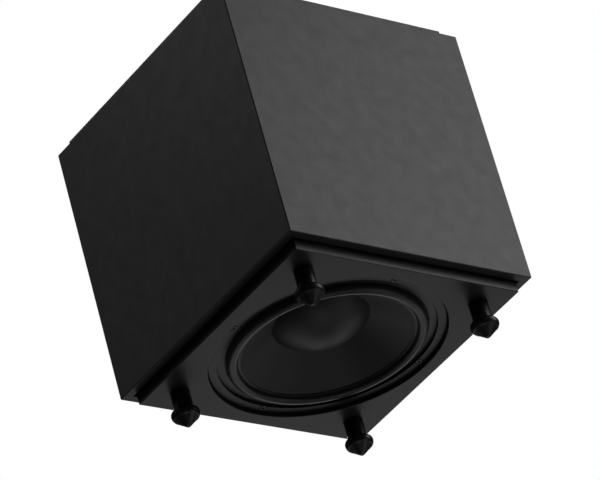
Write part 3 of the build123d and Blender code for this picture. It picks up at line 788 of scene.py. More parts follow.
@dataclass(frozen=True)
class Ceramic(Finish):
    """Ground ferrite: near black, grinding scratches and chipped pits."""

    def material(self) -> bpy.types.Material:
        """Builds the ferrite."""
        g = Graph(self.name)
        scratch = g.noise(900.0, 6.0, 0.7, g.stretched((1.0, 0.08, 1.0)))
        pits = g.spread(g.cells(260.0), 0.0, 0.18, 0.0, 1.0)
        colour = g.blend(g.spread(scratch, 0.3, 0.7, 0.0, 1.0), self.tone(0.75), self.tone(1.4))
        colour = g.blend(pits, self.tone(0.5), colour)
        return g.finish(colour, g.spread(scratch, 0.3, 0.7, self.roughness - 0.08, self.roughness + 0.08),
                        g.bump(g.maths("ADD", pits, g.maths("MULTIPLY", scratch, 0.3)), 0.00008))


@dataclass(frozen=True)
class Winding(Finish):
    """Enamelled wire laid in turns along Z or round a ring.

    Args:
        turns: Turns to a metre along the winding's UV.
    """

    turns: float = 2000.0

    def material(self) -> bpy.types.Material:
        """Builds the winding from the piece's own UV: V is metres along the turns."""
        g = Graph(self.name)
        along = g.part(Axis.Y, g.uv())
        wire = g.maths("ABSOLUTE", g.maths("SINE", g.maths("MULTIPLY", along, math.pi * self.turns)))
        stain = g.noise(90.0, 5.0)
        colour = g.blend(g.spread(wire, 0.0, 0.6, 0.0, 1.0), self.tone(0.25), self.colour)
        colour = g.blend(g.spread(stain, 0.35, 0.7, 0.0, 0.5), colour, self.tone(0.6))
        return g.finish(colour, g.spread(stain, 0.3, 0.7, self.roughness - 0.06, self.roughness + 0.08),
                        g.bump(wire, 0.0002), Metallic=0.6, Coat_Weight=0.4)


@dataclass(frozen=True)
class SolderMask(Finish):
    """Circuit board: lacquer over faint copper runs, with tinned pads."""

    def material(self) -> bpy.types.Material:
        """Builds the board: runs are where stepped noise changes, pads are small cells."""
        g = Graph(self.name)
        blocks = g.noise(38.0, 0.0, 0.5, g.stretched((1.0, 1.0, 2.4)))
        steps = g.maths("FRACT", g.maths("MULTIPLY", blocks, 26.0))
        runs = g.spread(g.maths("ABSOLUTE", g.maths("SUBTRACT", steps, 0.5)), 0.08, 0.16, 1.0, 0.0)
        pads = g.spread(g.cells(190.0), 0.10, 0.14, 1.0, 0.0)
        colour = g.blend(runs, self.colour, self.tone(1.9))
        colour = g.blend(pads, colour, (0.62, 0.6, 0.52))
        rough = g.spread(pads, 0.0, 1.0, self.roughness, 0.3)
        return g.finish(colour, rough, g.bump(g.maths("ADD", runs, pads), 0.00006), Coat_Weight=0.3)


@dataclass(frozen=True)
class Clear(Finish):
    """Tinted glass or lens with slight waviness.

    Args:
        through: How much light goes through.
        glow: Strength of its own light.
    """

    through: float = 0.9
    glow: float = 0.0

    def material(self) -> bpy.types.Material:
        """Builds the glass."""
        g = Graph(self.name)
        ripple = g.noise(340.0, 2.0)
        dust = g.noise(1500.0, 3.0)
        colour = g.blend(g.spread(dust, 0.55, 0.8, 0.0, 0.3), self.colour, self.tone(0.7))
        rough = g.spread(dust, 0.3, 0.8, self.roughness, self.roughness + 0.12)
        return g.finish(colour, rough, g.bump(ripple, 0.00003), Transmission_Weight=self.through,
                        Emission_Color=(*self.colour, 1.0), Emission_Strength=self.glow)


@dataclass
class Wardrobe:
    """Every finish, made once and shared.

    Args:
        low: Lowest corner of the cabinet walls.
        high: Highest corner of the cabinet walls.
    """

    low: Vector
    high: Vector

    def __post_init__(self) -> None:
        """Lists the finishes by their slot names."""
        self.made: dict[str, bpy.types.Material] = {}
        self.finishes: dict[str, Finish] = {}
        self.add("cabinet_black", self.wrap("cabinet_foil", self.low, self.high, 0.018, 0.42))
        for node in ("baffle_panel", "top_panel"):
            low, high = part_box(node)
            self.add(node, self.wrap(node + "_foil", low, high, 0.018, 0.4))
        for slot, finish in self.plain_finishes():
            self.add(slot, finish)

    @staticmethod
    def wrap(name: str, low: Vector, high: Vector, shade: float, rough: float) -> WrappedBoard:
        """Foil whose painted edge highlight follows one box."""
        middle, half = (low + high) / 2, (high - low) / 2
        return WrappedBoard(name, (shade, shade, shade * 1.03), rough, tuple(half), tuple(middle))

    @staticmethod
    def plain_finishes() -> list[tuple[str, Finish]]:
        """The finishes that need nothing from the frame."""
        return [
            ("raw_board", BareBoard("bare_fibreboard", (0.33, 0.21, 0.12), 0.85)),
            ("wadding", Fibre("polyester_wadding", (0.86, 0.86, 0.83), 0.9)),
            ("zinc_steel", Metal("zinc_plated_steel", (0.62, 0.62, 0.6), 0.36, (1.0, 1.0, 1.0))),
            ("black_steel", Coated("black_oxide_steel", (0.05, 0.05, 0.052), 0.32, 1600.0, 0.00001, 0.4)),
            ("foam_black", Rubber("closed_cell_foam", (0.03, 0.03, 0.031), 0.85, 2.0)),
            ("cast_black", Coated("basket_powder_coat", (0.014, 0.014, 0.0145), 0.38, 1500.0, 0.00001, 0.1)),
            ("surround_rubber", Rubber("surround_butyl", (0.012, 0.012, 0.0125), 0.36, 1.35)),
            ("cone_black", ConeSkin("cone_skin", (0.018, 0.018, 0.0185), 0.48)),
            ("cap_black", ConeSkin("dust_cap_skin", (0.018, 0.018, 0.0185), 0.46, 40.0)),
            ("spider_cloth", Cloth("spider_cotton", (0.62, 0.42, 0.13), 0.85)),
            ("former_metal", Metal("former_aluminium", (0.78, 0.78, 0.79), 0.3, (1.0, 1.0, 0.08))),
            ("copper_wire", Winding("enamelled_copper", (0.72, 0.3, 0.13), 0.3)),
            ("ferrite", Ceramic("ground_ferrite", (0.07, 0.07, 0.075), 0.55)),
            ("rubber_black", Rubber("boot_rubber", (0.028, 0.028, 0.028), 0.6, 1.8)),
            ("terminal_brown", Moulded("terminal_laminate", (0.22, 0.11, 0.05), 0.5)),
            ("braid", Metal("tinsel_braid", (0.75, 0.48, 0.32), 0.35, (1.0, 1.0, 1.0), 0.00002)),
            ("plate_black", Coated("plate_powder_coat", (0.032, 0.032, 0.034), 0.5, 1100.0, 0.00006, 0.1)),
            ("knob_black", Moulded("knob_plastic", (0.026, 0.026, 0.027), 0.42)),
            ("control_metal", Metal("control_nickel", (0.6, 0.6, 0.57), 0.3, (1.0, 0.1, 1.0))),
            ("moulding_black", Moulded("socket_plastic", (0.022, 0.022, 0.023), 0.3, 1200.0, 0.00001, 0.15)),
            ("lever_grey", Moulded("lever_plastic", (0.09, 0.09, 0.09), 0.45)),
            ("socket_gold", Metal("socket_gold_plate", (0.86, 0.6, 0.24), 0.2, (1.0, 0.1, 1.0), 0.000005)),
            ("led_green", Clear("lamp_lens", (0.1, 0.85, 0.3), 0.12, 0.5, 0.6)),
            ("contact_metal", Metal("tinned_blades", (0.72, 0.7, 0.64), 0.3, (1.0, 0.1, 1.0))),
            ("fuse_glass", Clear("fuse_tube_glass", (0.9, 0.94, 0.93), 0.04, 0.95)),
            ("board_green", SolderMask("solder_mask", (0.02, 0.11, 0.05), 0.35)),
            ("can_black", Moulded("capacitor_sleeve", (0.03, 0.03, 0.05), 0.25, 600.0, 0.00001, 0.4)),
            ("transformer_wrap", Winding("transformer_tape", (0.7, 0.5, 0.12), 0.4, 170.0)),
            ("heat_sink_metal", Metal("extruded_aluminium", (0.55, 0.55, 0.57), 0.4, (1.0, 1.0, 0.05))),
            ("wire_red", Rubber("wire_jacket_red", (0.42, 0.03, 0.025), 0.4, 1.2)),
            ("wire_black", Rubber("wire_jacket_black", (0.02, 0.02, 0.02), 0.4, 1.6)),
            ("mark_white", Moulded("printed_marks", (0.7, 0.7, 0.68), 0.5)),
        ]

    def add(self, slot: str, finish: Finish) -> None:
        """Files a finish under a slot or node name."""
        self.finishes[slot] = finish

    def get(self, key: str) -> bpy.types.Material:
        """Makes a finish's material on first use."""
        if key not in self.made:
            self.made[key] = self.finishes[key].material()
        return self.made[key]

    def turned(self, name: str, colour: Colour, rough: float, centre: Colour, axis: Axis,
               metal: float = 0.0) -> bpy.types.Material:
        """A turned finish about a piece's own axis."""
        return TurnedSatin(name, colour, rough, centre, axis, metal=metal).material()

    def dress(self, thing: bpy.types.Object, material: bpy.types.Material) -> None:
        """Puts one material on an object."""
        thing.data.materials.clear()
        thing.data.materials.append(material)


@dataclass
class Assembly:
    """What each sub-assembly shares: its wardrobe, and how a piece is placed in the frame."""

    wardrobe: Wardrobe

    def place(self, thing: bpy.types.Object, body: str, slot: str, material: bpy.types.Material,
              *replaced: str) -> bpy.types.Object:
        """Dresses a new piece, sets it on its body and hides the CAD nodes that it stands for.

        Args:
            thing: The piece.
            body: The body that it rides on.
            slot: The slot for its finish; not used.
            material: What it wears.
            *replaced: The CAD nodes that it stands for.

        Returns:
            The same piece.
        """
        self.wardrobe.dress(thing, material)
        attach(thing, body)
        if replaced:
            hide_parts(*replaced)
        log.info("%s rides on %s, %d faces", thing.name, body, len(thing.data.polygons))
        return thing

    def keep(self, node: str, material: bpy.types.Material) -> None:
        """Dresses a CAD node whose shape is right."""
        self.wardrobe.dress(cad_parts[node], material)
        log.info("%s keeps its shape", node)


# ---------------------------------------------------------------- cabinet --------------


@dataclass
class Cabinet(Assembly):
    """Four walls, the inner boards, the two proud panels, their screws and the wadding."""

    wadding_power: float = 5.0
    lump: float = 0.006

    def build(self) -> None:
        """Dresses the boards and makes the wadding."""
        for wall in ("front_wall", "right_wall", "rear_wall", "left_wall"):
            self.keep(wall, self.wardrobe.get("cabinet_black"))
        for panel in ("baffle_panel", "top_panel"):
            self.keep(panel, self.wardrobe.get(panel))
        for board in ("bottom_board", "top_board"):
            self.keep(board, self.wardrobe.get("raw_board"))
        self.keep("panel_screws", self.wardrobe.get("zinc_steel"))
        self.keep("foot_inserts", self.wardrobe.get("zinc_steel"))
        self.wadding()

    def wadding(self) -> None:
        """Lumpy pad: a rounded box |x/a|^n + |y/b|^n + |z/c|^n = 1, drawn in by three crossing waves."""
        low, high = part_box("damping_wadding")
        half = np.array((high - low) / 2)
        middle = np.array((high + low) / 2)
        tilt = np.linspace(0.02, np.pi - 0.02, 72)[:, None]
        turn = np.linspace(0, 2 * np.pi, 160, endpoint=False)[None, :]
        way = np.stack(np.broadcast_arrays(np.sin(tilt) * np.cos(turn), np.sin(tilt) * np.sin(turn),
                                           np.cos(tilt)), axis=-1)
        reach = np.sum(np.abs(way) ** self.wadding_power, axis=-1, keepdims=True) ** (-1 / self.wadding_power)
        at = way * reach * (half - self.lump)
        x, y = at[..., 0], at[..., 1]
        wave = np.sin(x * 61) + np.sin(y * 73 + 1.3) + np.sin((x - y) * 97)
        at = at * (1 + 0.02 * wave[..., None])
        pad = piece("wadding_pad", swept_rings(at + middle))
        self.place(pad, "cabinet", "wadding", self.wardrobe.get("wadding"), "damping_wadding")


# ---------------------------------------------------------------- woofer ---------------


@dataclass
class Woofer(Assembly):
    """The driver: soft parts and windings made here, castings and plates kept.

    Args:
        steps: Corners once round for the large rings.
        roll_outer: Radius of the half roll's outer foot.
        roll_inner: Radius of its inner foot.
        skin: Thickness of the surround.
        cone_wall: Thickness of the cone.
        cap_wall: Thickness of the dust cap.
    """

    steps: int = 320
    roll_outer: float = 0.118
    roll_inner: float = 0.1032
    skin: float = 0.001
    cone_wall: float = 0.0013
    cap_wall: float = 0.0008
    spider_waves: int = 6
    spider_wave: float = 0.0019
    wire: float = 0.0005
    lead_route: tuple = ((82, 0, 115.7), (71, 0, 119.7), (60, 0, 117.7), (49, 0, 114.2),
                         (38, 0, 117.7), (27.5, 0, 116.7))
    lead_sides: tuple = (-8.0, 8.0)
    lead_radius: float = 0.0008

    def build(self) -> None:
        """Makes every driver piece."""
        self.surround()
        self.cone()
        self.dust_cap()
        self.spider()
        self.voice_coil()
        self.leads()
        keep = {"driver_basket": "cast_black", "driver_gasket": "foam_black", "coil_former": "former_metal",
                "magnet_ring": "ferrite", "front_plate": "zinc_steel", "pole_yoke": "zinc_steel",
                "magnet_boot": "rubber_black", "terminal_board": "terminal_brown",
                "driver_screws": "black_steel"}
        for node, slot in keep.items():
            self.keep(node, self.wardrobe.get(slot))

    def blended_ring(self, name: str, profile: np.ndarray, steps: int,
                     outer: float, inner: float) -> bpy.types.Object:
        """Ring turned from a closed loop of (radius, height) about Z.

        The points are first laid out on the unrolled strip, whose corners are (radius, turn, height), and the
        strip is then wrapped: (r, t, h) becomes (r cos t, r sin t, h).

        Args:
            name: The piece's name.
            profile: Closed loop of (radius, height).
            steps: Corners once round.
            outer: Radius by which the turn is scaled on the unrolled strip.
            inner: Not used.

        Returns:
            The piece, wrapped.
        """
        ring = piece(name, turned(profile, steps, ring=True))
        angle = np.linspace(0, 2 * np.pi, steps, endpoint=False)[None, :]
        strip = np.stack(np.broadcast_arrays(profile[:, :1], angle * outer, profile[:, 1:2]), axis=-1)
        wrapped = turn_points(profile[:, :1], profile[:, 1:2], angle, Axis.Z)
        ring.data.vertices.foreach_set("co", strip.astype(np.float32).ravel())
        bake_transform(ring)
        ring.data.vertices.foreach_set("co", wrapped.astype(np.float32).ravel())
        ring.data.update()
        return ring

    def soft(self, thing: bpy.types.Object, slot: str, node: str) -> None:
        """Dresses a piece and hides the CAD node that it stands for."""
        self.wardrobe.dress(thing, self.wardrobe.get(slot))
        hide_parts(node)
        log.info("%s bends between cabinet and cone, %d faces", thing.name, len(thing.data.polygons))

    def surround(self) -> None:
        """Half roll: flat landing, half ellipse (rc + w cos a, base - h sin a), flat lip, then skin."""
        low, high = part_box("surround")
        edge = high.x
        half = self.skin / 2
        lip = 0.0499
        middle = (self.roll_outer + self.roll_inner) / 2
        width = (self.roll_outer - self.roll_inner) / 2 - half
        angle = np.linspace(0, np.pi, 60)
        outer_base, inner_base = 0.0535, lip
        base = outer_base + (inner_base - outer_base) * angle / np.pi
        crest = low.z + half
        rise = (outer_base + inner_base) / 2 - crest
        roll = np.stack([middle + width * np.cos(angle), base - rise * np.sin(angle)], axis=1)
        flat = np.array([[edge - half, outer_base]])
        tail = np.array([[self.roll_inner - 0.003 + half, inner_base]])
        line = spaced(np.concatenate([flat, roll, tail]), 0.0004)
        line = eased(eased(line, 2), 1)
        loop = thickened(line, self.skin)
        ring = self.blended_ring("surround_roll", loop, self.steps, self.roll_outer, self.roll_inner)
        self.soft(ring, "surround_rubber", "surround")

    def cone(self) -> None:
        """Straight-sided cone with a flat rim."""
        low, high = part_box("cone")
        rim = high.x
        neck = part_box("coil_former")[1].x
        under = low.z
        slope = 0.69
        edge = rim - 0.0022
        reach = np.linspace(edge, neck, 90)
        rise = under + (edge - reach) * slope
        visible = np.stack([reach, rise], axis=1)
        hidden = visible[::-1] + np.array([0.0, self.cone_wall * 1.22])
        hidden[-1, 0] -= 0.0003
        loop = np.concatenate([[[rim, under]], visible, hidden, [[rim, under + self.cone_wall]]])
        thing = piece("cone_shell", turned(loop, self.steps, ring=True), 25.0)
        self.place(thing, "cone_assembly", "cone_black", self.wardrobe.get("cone_black"), "cone")

    def dust_cap(self) -> None:
        """Spherical dome, radius (r^2 + h^2) / 2h, with a narrow rounded glue rim."""
        low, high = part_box("dust_cap")
        edge, height = high.x, high.z - low.z
        ball = (edge ** 2 + height ** 2) / (2 * height)
        centre = low.z + ball
        open_angle = math.asin(edge / ball)
        sweep = np.linspace(0, open_angle, 80)
        outside = np.stack([ball * np.sin(sweep), centre - ball * np.cos(sweep)], axis=1)
        shell = ball - self.cap_wall
        inside = np.stack([shell * np.sin(sweep), centre - shell * np.cos(sweep)], axis=1)[::-1]
        outside[0, 0] = inside[-1, 0] = 1e-5
        profile = np.concatenate([outside, inside])
        thing = piece("dust_cap_dome", turned(profile, self.steps), 30.0)
        self.place(thing, "cone_assembly", "cap_black", self.wardrobe.get("cap_black"), "dust_cap")

    def spider(self) -> None:
        """Corrugated disc: h = w sin(2 pi n s) over the middle of the radius, flat at both rims."""
        low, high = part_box("spider")
        outer, inner = high.x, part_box("coil_former")[1].x + 0.0004
        reach = np.linspace(outer, inner, 220)
        span = (reach - (inner + 0.006)) / ((outer - 0.0095) - (inner + 0.006))
        window = np.clip(np.minimum(span, 1 - span) * 14, 0, 1)
        wave = -self.spider_wave * np.sin(2 * np.pi * self.spider_waves * span) * window
        line = np.stack([reach, (low.z + high.z) / 2 + wave], axis=1)
        loop = thickened(line, 0.0008)
        ring = self.blended_ring("spider_disc", loop, 200, outer - 0.0095, inner + 0.004)
        self.soft(ring, "spider_cloth", "spider")

    def voice_coil(self) -> None:
        """Winding: radius R - w + w |sin(pi z / pitch)| turned about Z, bore plain."""
        low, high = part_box("voice_coil")
        outer, bore = high.x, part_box("coil_former")[1].x
        height = np.linspace(low.z, high.z, int((high.z - low.z) / self.wire) * 6 + 1)
        ridge = outer - 0.5 * self.wire * (1 - np.abs(np.sin(np.pi * (height - low.z) / self.wire)))
        outside = np.stack([ridge, height], axis=1)
        loop = np.concatenate([outside, [[bore + 0.00002, high.z], [bore + 0.00002, low.z]]])
        thing = piece("coil_winding", turned(loop, 96, ring=True), 60.0)
        lay_uv(thing, np.repeat(np.arange(len(loop)), 96).astype(float), np.repeat(loop[:, 1], 96))
        self.place(thing, "cone_assembly", "copper_wire", self.wardrobe.get("copper_wire"), "voice_coil")

    def leads(self) -> None:
        """Two braided leads, strands winding round, slack between the tabs and the former."""
        tubes = []
        for side in self.lead_sides:
            route = [(x * MM, (y + side) * MM, z * MM) for x, y, z in self.lead_route]
            tubes.append(tube_along(smooth_route(route), self.lead_radius, 16, 0.00016, 6, 1800.0))
        thing = piece("tinsel_braids", joined(tubes), 70.0)
        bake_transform(thing)
        self.soft(thing, "braid", "tinsel_leads")


# ---------------------------------------------------------------- feet -----------------


@dataclass
class Feet(Assembly):
    """Four turned feet on threaded studs.

    Args:
        post: Radius of the post.
        tip: Radius of the blunt point.
        pitch: Thread pitch of the stud.
        thread: Thread depth.
    """

    places: tuple = ("front_left", "rear_left", "front_right", "rear_right")
    post: float = 0.0113
    tip: float = 0.0024
    pitch: float = 0.00125
    thread: float = 0.0007
    colour: Colour = (0.01, 0.01, 0.0105)

    def build(self) -> None:
        """Makes each foot and its stud."""
        for place in self.places:
            low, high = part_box("foot_" + place)
            middle = (low + high) / 2
            self.foot(place, middle, high)
            self.stud(place, middle)

    def profile(self, head: float, top: float) -> np.ndarray:
        """Half section from the point up: cone, rounded shoulder, neck hollow, post, bored top."""
        cone = np.array([[self.tip * 0.4, 0.0], [self.tip, 0.0], [0.0132, 0.0098]])
        lower = arc((0.0132, 0.0098), (0.016, 0.0126), (head, 0.0156), 14)
        upper = arc((head, 0.0156), (0.0159, 0.0188), (0.0132, 0.0206), 14)
        neck = arc((0.0132, 0.0206), (0.0118, 0.0216), (self.post, 0.023), 8)
        post = np.array([[self.post, top - 0.0004], [self.post - 0.0004, top], [0.0041, top]])
        line = spaced(np.concatenate([cone, lower[1:], upper[1:], neck[1:], post]), 0.0005)
        return np.concatenate([line, [[0.0041, top - 0.018], [0.0001, top - 0.018]]])

    def foot(self, place: str, middle: Vector, high: Vector) -> None:
        """One turned foot."""
        head = high.x - middle.x
        body = turned(self.profile(head, high.z), 96).moved((middle.x, middle.y, 0))
        thing = piece("turned_foot_" + place, body, 28.0)
        satin = self.wardrobe.turned("foot_satin_" + place, self.colour, 0.36,
                                     (middle.x, middle.y, 0.0), Axis.Z)
        self.place(thing, "foot_body_" + place, "foot_black", satin, "foot_" + place)

    def stud(self, place: str, middle: Vector) -> None:
        """Threaded stud: r = R - d (1 - |2 frac(z/p - a/2pi) - 1|), faded out at both ends."""
        low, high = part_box("stud_" + place)
        outer = high.x - middle.x
        angle = np.linspace(0, 2 * np.pi, 40, endpoint=False)[None, :]
        height = np.linspace(low.z, high.z, int((high.z - low.z) / self.pitch * 8))[:, None]
        phase = (height / self.pitch - angle / (2 * np.pi)) % 1.0
        depth = self.thread * (1 - np.abs(2 * phase - 1))
        ends = np.clip(np.minimum(height - low.z, high.z - height) / 0.0008, 0, 1)
        radius = outer - depth * ends - 0.0007 * (1 - ends)
        rings = turn_points(radius, height, angle, Axis.Z) + np.array([middle.x, middle.y, 0.0])
        thing = piece("threaded_stud_" + place, swept_rings(rings), 80.0)
        steel = self.wardrobe.get("zinc_steel")
        self.place(thing, "stud_body_" + place, "zinc_steel", steel, "stud_" + place)


# ---------------------------------------------------------------- amplifier ------------


@dataclass
class Knob(Assembly):
    """One fluted control knob with its pointer and printed scale.

    Args:
        node: The CAD node that it stands for.
        body: The body that it rides on.
        flutes: Flutes once round.
        ticks: Marks on its scale.
        sweep: Degrees from the first mark to the last.
    """

    node: str = ""
    body: str = ""
    flutes: int = 24
    flute: float = 0.0005
    ticks: int = 11
    sweep: float = 300.0

    def build(self) -> None:
        """Makes the knob, its pointer and the marks on the plate."""
        low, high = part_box(self.node)
        middle = (low + high) / 2
        radius = (high.x - low.x) / 2
        angle = np.linspace(0, 2 * np.pi, self.flutes * 8, endpoint=False)[None, :]
        depth = high.y - low.y
        share = np.array([0.0, 0.02, 0.10, 0.14, 0.18, 0.84, 0.92, 0.97, 1.0, 1.0, 1.0])[:, None]
        reach = np.array([0.97, 1.0, 1.0, 0.99, 0.93, 0.88, 0.87, 0.84, 0.79, 0.4, 0.02])[:, None]
        fluted = np.array([0, 0, 0, 0, 1, 1, 1, 0.6, 0, 0, 0], float)[:, None]
        wave = self.flute * fluted * (0.5 - 0.5 * np.cos(self.flutes * angle))
        rings = turn_points(radius * reach - wave, low.y + depth * share - 0.0, angle, Axis.Y)
        rings = rings + np.array([middle.x, 0.0, middle.z])
        thing = piece(self.node + "_cap", swept_rings(rings), 35.0)
        self.place(thing, self.body, "knob_black", self.wardrobe.get("knob_black"), self.node)
        self.pointer(middle, radius, high.y)
        self.scale(middle, radius)

    def pointer(self, middle: Vector, radius: float, face: float) -> None:
        """White line from the rim towards the middle, just under the knob's face."""
        line = slab((middle.x - 0.0004, face - 0.0006, middle.z + radius * 0.25),
                    (middle.x + 0.0004, face + 0.00002, middle.z + radius * 0.78))
        thing = piece(self.node + "_pointer", line)
        self.place(thing, self.body, "lever_grey", self.wardrobe.get("mark_white"))

    def scale(self, middle: Vector, radius: float) -> None:
        """Printed ticks spread evenly over the sweep, long at both ends and the middle."""
        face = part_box("amp_plate")[1].y
        marks = []
        for i, turn in enumerate(np.linspace(-self.sweep / 2, self.sweep / 2, self.ticks)):
            reach = 0.0034 if i in (0, self.ticks // 2, self.ticks - 1) else 0.0022
            tick = slab((middle.x - 0.0003, face - 0.0001, middle.z + radius + 0.0022),
                        (middle.x + 0.0003, face + 0.00008, middle.z + radius + 0.0022 + reach))
            marks.append(tick.tilted(float(turn), Axis.Y, (middle.x, 0, middle.z)))
        thing = piece(self.node + "_scale", joined(marks))
        self.place(thing, "cabinet", "lever_grey", self.wardrobe.get("mark_white"))


@dataclass
class Amplifier(Assembly):
    """Rear plate with its sockets, switches and electronics.

    Args:
        wire_radius: Radius of a speaker wire's jacket.
    """

    wire_radius: float = 0.0011
    tab_height: float = 114.8
    board_face: float = 147.6

    def build(self) -> None:
        """Makes every amplifier piece."""
        keep = {"amp_plate": "plate_black", "amp_gasket": "foam_black", "amp_screws": "black_steel",
                "control_pots": "control_metal", "switch_bodies": "moulding_black",
                "phase_switch": "lever_grey", "power_mode_switch": "lever_grey",
                "rca_block": "moulding_black", "rca_shells": "socket_gold", "status_led": "led_green",
                "mains_inlet": "moulding_black", "inlet_pins": "contact_metal",
                "fuse_drawer": "moulding_black", "rocker_housing": "moulding_black",
                "mains_rocker": "knob_black", "circuit_board": "board_green",
                "board_pillars": "zinc_steel", "capacitors": "can_black",
                "transformer_bolt": "zinc_steel", "heat_sink": "heat_sink_metal",
                "power_transistors": "moulding_black"}
        for node, slot in keep.items():
            self.keep(node, self.wardrobe.get(slot))
        Knob(self.wardrobe, "volume_knob", "volume_control").build()
        Knob(self.wardrobe, "crossover_knob", "crossover_control").build()
        self.socket_rings()
        self.rocker_marks()
        self.transformer()
        self.fuse()
        self.wires()

    def socket_rings(self) -> None:
        """Coloured insulating rings inside the two socket barrels, bored for the plug's pin."""
        low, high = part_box("rca_shells")
        height = (low.z + high.z) / 2
        colours = {"outer": (0.55, 0.55, 0.53), "inner": (0.45, 0.02, 0.02)}
        xs = {"outer": low.x + 0.00415, "inner": high.x - 0.00415}
        for name, colour in colours.items():
            loop = np.array([[0.00308, high.y - 0.0008], [0.00308, high.y - 0.008],
                             [0.0016, high.y - 0.008], [0.0016, high.y - 0.0011], [0.0019, high.y - 0.0008]])
            ring = turned(loop, 48, Axis.Y, ring=True).moved((xs[name], 0, height))
            thing = piece("socket_insulator_" + name, ring, 30.0)
            plastic = Moulded("socket_ring_" + name, colour, 0.35).material()
            self.place(thing, "cabinet", "moulding_black", plastic)

    def rocker_marks(self) -> None:
        """A bar and a ring let into the two halves of the rocker."""
        low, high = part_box("rocker_housing")
        middle_x, middle_z = (low.x + high.x) / 2, (low.z + high.z) / 2
        pivot = (middle_x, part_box("amp_plate")[1].y - 0.004, middle_z)
        face = pivot[1] + 0.0055
        loop = np.array([[0.0016, 0.0001], [0.0016, -0.0003], [0.0012, -0.0003], [0.0012, 0.0001]])
        ring = turned(loop, 32, Axis.Y, ring=True).moved((middle_x, face, middle_z + 0.005))
        bar = slab((middle_x - 0.00025, face - 0.0003, middle_z - 0.0066),
                   (middle_x + 0.00025, face + 0.0001, middle_z - 0.0034)).tilted(20.0, Axis.X, pivot)
        thing = piece("rocker_marks", joined([ring, bar]))
        self.place(thing, "rocker", "lever_grey", self.wardrobe.get("mark_white"))

    def transformer(self) -> None:
        """Taped ring: a rounded section whose size swells by |sin| once for each lap of tape."""
        low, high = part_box("transformer")
        middle = (low + high) / 2
        outer, bore = (high.x - low.x) / 2, 0.012
        laps, steps, around = 60, 480, 48
        half_width, half_height = (outer - bore) / 2, (high.y - low.y) / 2
        angle = np.linspace(0, 2 * np.pi, steps, endpoint=False)[:, None]
        section = np.linspace(0, 2 * np.pi, around, endpoint=False)[None, :]
        swell = 1 - 0.025 * (1 - np.abs(np.sin(laps * angle / 2)))
        across = np.sign(np.cos(section)) * np.abs(np.cos(section)) ** 0.5 * half_width * swell
        up = np.sign(np.sin(section)) * np.abs(np.sin(section)) ** 0.5 * half_height * swell
        radius = (outer + bore) / 2 + across
        corners = turn_points(radius, middle.y + up, angle, Axis.Y) + np.array([middle.x, 0, middle.z])
        skin = Surface(corners.reshape(-1, 3), lattice(steps, around, True, True), np.zeros((0, 3), int))
        thing = piece("taped_transformer", skin.outward(), 50.0)
        lay_uv(thing, np.tile(section[0], steps), np.repeat(angle[:, 0] * outer, around))
        wrap = self.wardrobe.get("transformer_wrap")
        self.place(thing, "cabinet", "transformer_wrap", wrap, "transformer")

    def fuse(self) -> None:
        """Glass tube with two metal caps, lying along X."""
        low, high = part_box("fuse")
        middle = (low + high) / 2
        radius, cap = (high.z - low.z) / 2, 0.0052
        tube = np.array([[radius - 0.0003, low.x + 0.004], [radius - 0.0003, high.x - 0.004],
                         [radius - 0.0008, high.x - 0.004], [radius - 0.0008, low.x + 0.004]])
        glass = turned(tube, 40, Axis.X, ring=True).moved((0, middle.y, middle.z))
        thing = piece("fuse_glass_tube", glass)
        self.place(thing, "fuse_carrier", "fuse_glass", self.wardrobe.get("fuse_glass"), "fuse")
        caps = []
        for start, way in ((low.x, 1), (high.x, -1)):
            line = np.array([[0.00005, 0], [radius - 0.0004, 0], [radius, 0.0004], [radius, cap],
                             [radius - 0.00025, cap], [radius - 0.00025, 0.0006], [0.00005, 0.0006]])
            line = np.stack([line[:, 0], start + way * line[:, 1]], axis=1)
            caps.append(turned(line, 40, Axis.X).moved((0, middle.y, middle.z)))
        thing = piece("fuse_caps", joined(caps), 30.0)
        self.place(thing, "fuse_carrier", "contact_metal", self.wardrobe.get("contact_metal"))

    def wires(self) -> None:
        """Two jacketed wires from the circuit board to the woofer's tabs, one of each colour."""
        top, board = self.tab_height, self.board_face
        for shift, slot in ((-1, "wire_red"), (1, "wire_black")):
            y, side = 8 * shift, 5 * shift
            route = [(88, y, top + 1.2), (103, y, top + 3), (116, y + 8, top + 12),
                     (122 - side, 36 + y, top + 28), (124 - side, 64 + y, top + 54),
                     (122 - side, 84, top + 84), (114 - side, 96 - side, top + 116),
                     (98 - side, 108, top + 140), (84 - side, 124, top + 150),
                     (72 - side, 134, top + 156), (67 - side, board - 3.2, top + 157)]
            path = smooth_route([(x * MM, y * MM, z * MM) for x, y, z in route])
            thing = piece("speaker_" + slot, tube_along(path, self.wire_radius, 20))
            replaced = ("speaker_wires",) if shift < 0 else ()
            self.place(thing, "cabinet", "wire_red", self.wardrobe.get(slot), *replaced)


# ---------------------------------------------------------------- studio ---------------


@dataclass
class Softbox:
    """One large soft lamp.

    Args:
        name: Its name.
        azimuth: Degrees round from the front, positive towards +X.
        elevation: Degrees above the floor.
        distance: Metres from the middle of the object.
        size: Width and height in metres.
        power: Watts.
        aim: The point that it is turned to.
    """

    name: str
    azimuth: float
    elevation: float
    distance: float
    size: tuple[float, float]
    power: float
    aim: tuple[float, float, float] = (0.0, 0.0, 0.2)

    def build(self) -> None:
        """Hangs the lamp and turns it to its aim."""
        lamp = bpy.data.lights.new(self.name, "AREA")
        lamp.shape = "RECTANGLE"
        lamp.size, lamp.size_y = self.size
        lamp.energy = self.power
        holder = bpy.data.objects.new(self.name, lamp)
        back = direction(self.azimuth, self.elevation)
        target = Vector(self.aim)
        holder.location = target + back * self.distance
        holder.rotation_euler = (-back).to_track_quat("-Z", "Y").to_euler()
        bpy.context.scene.collection.objects.link(holder)


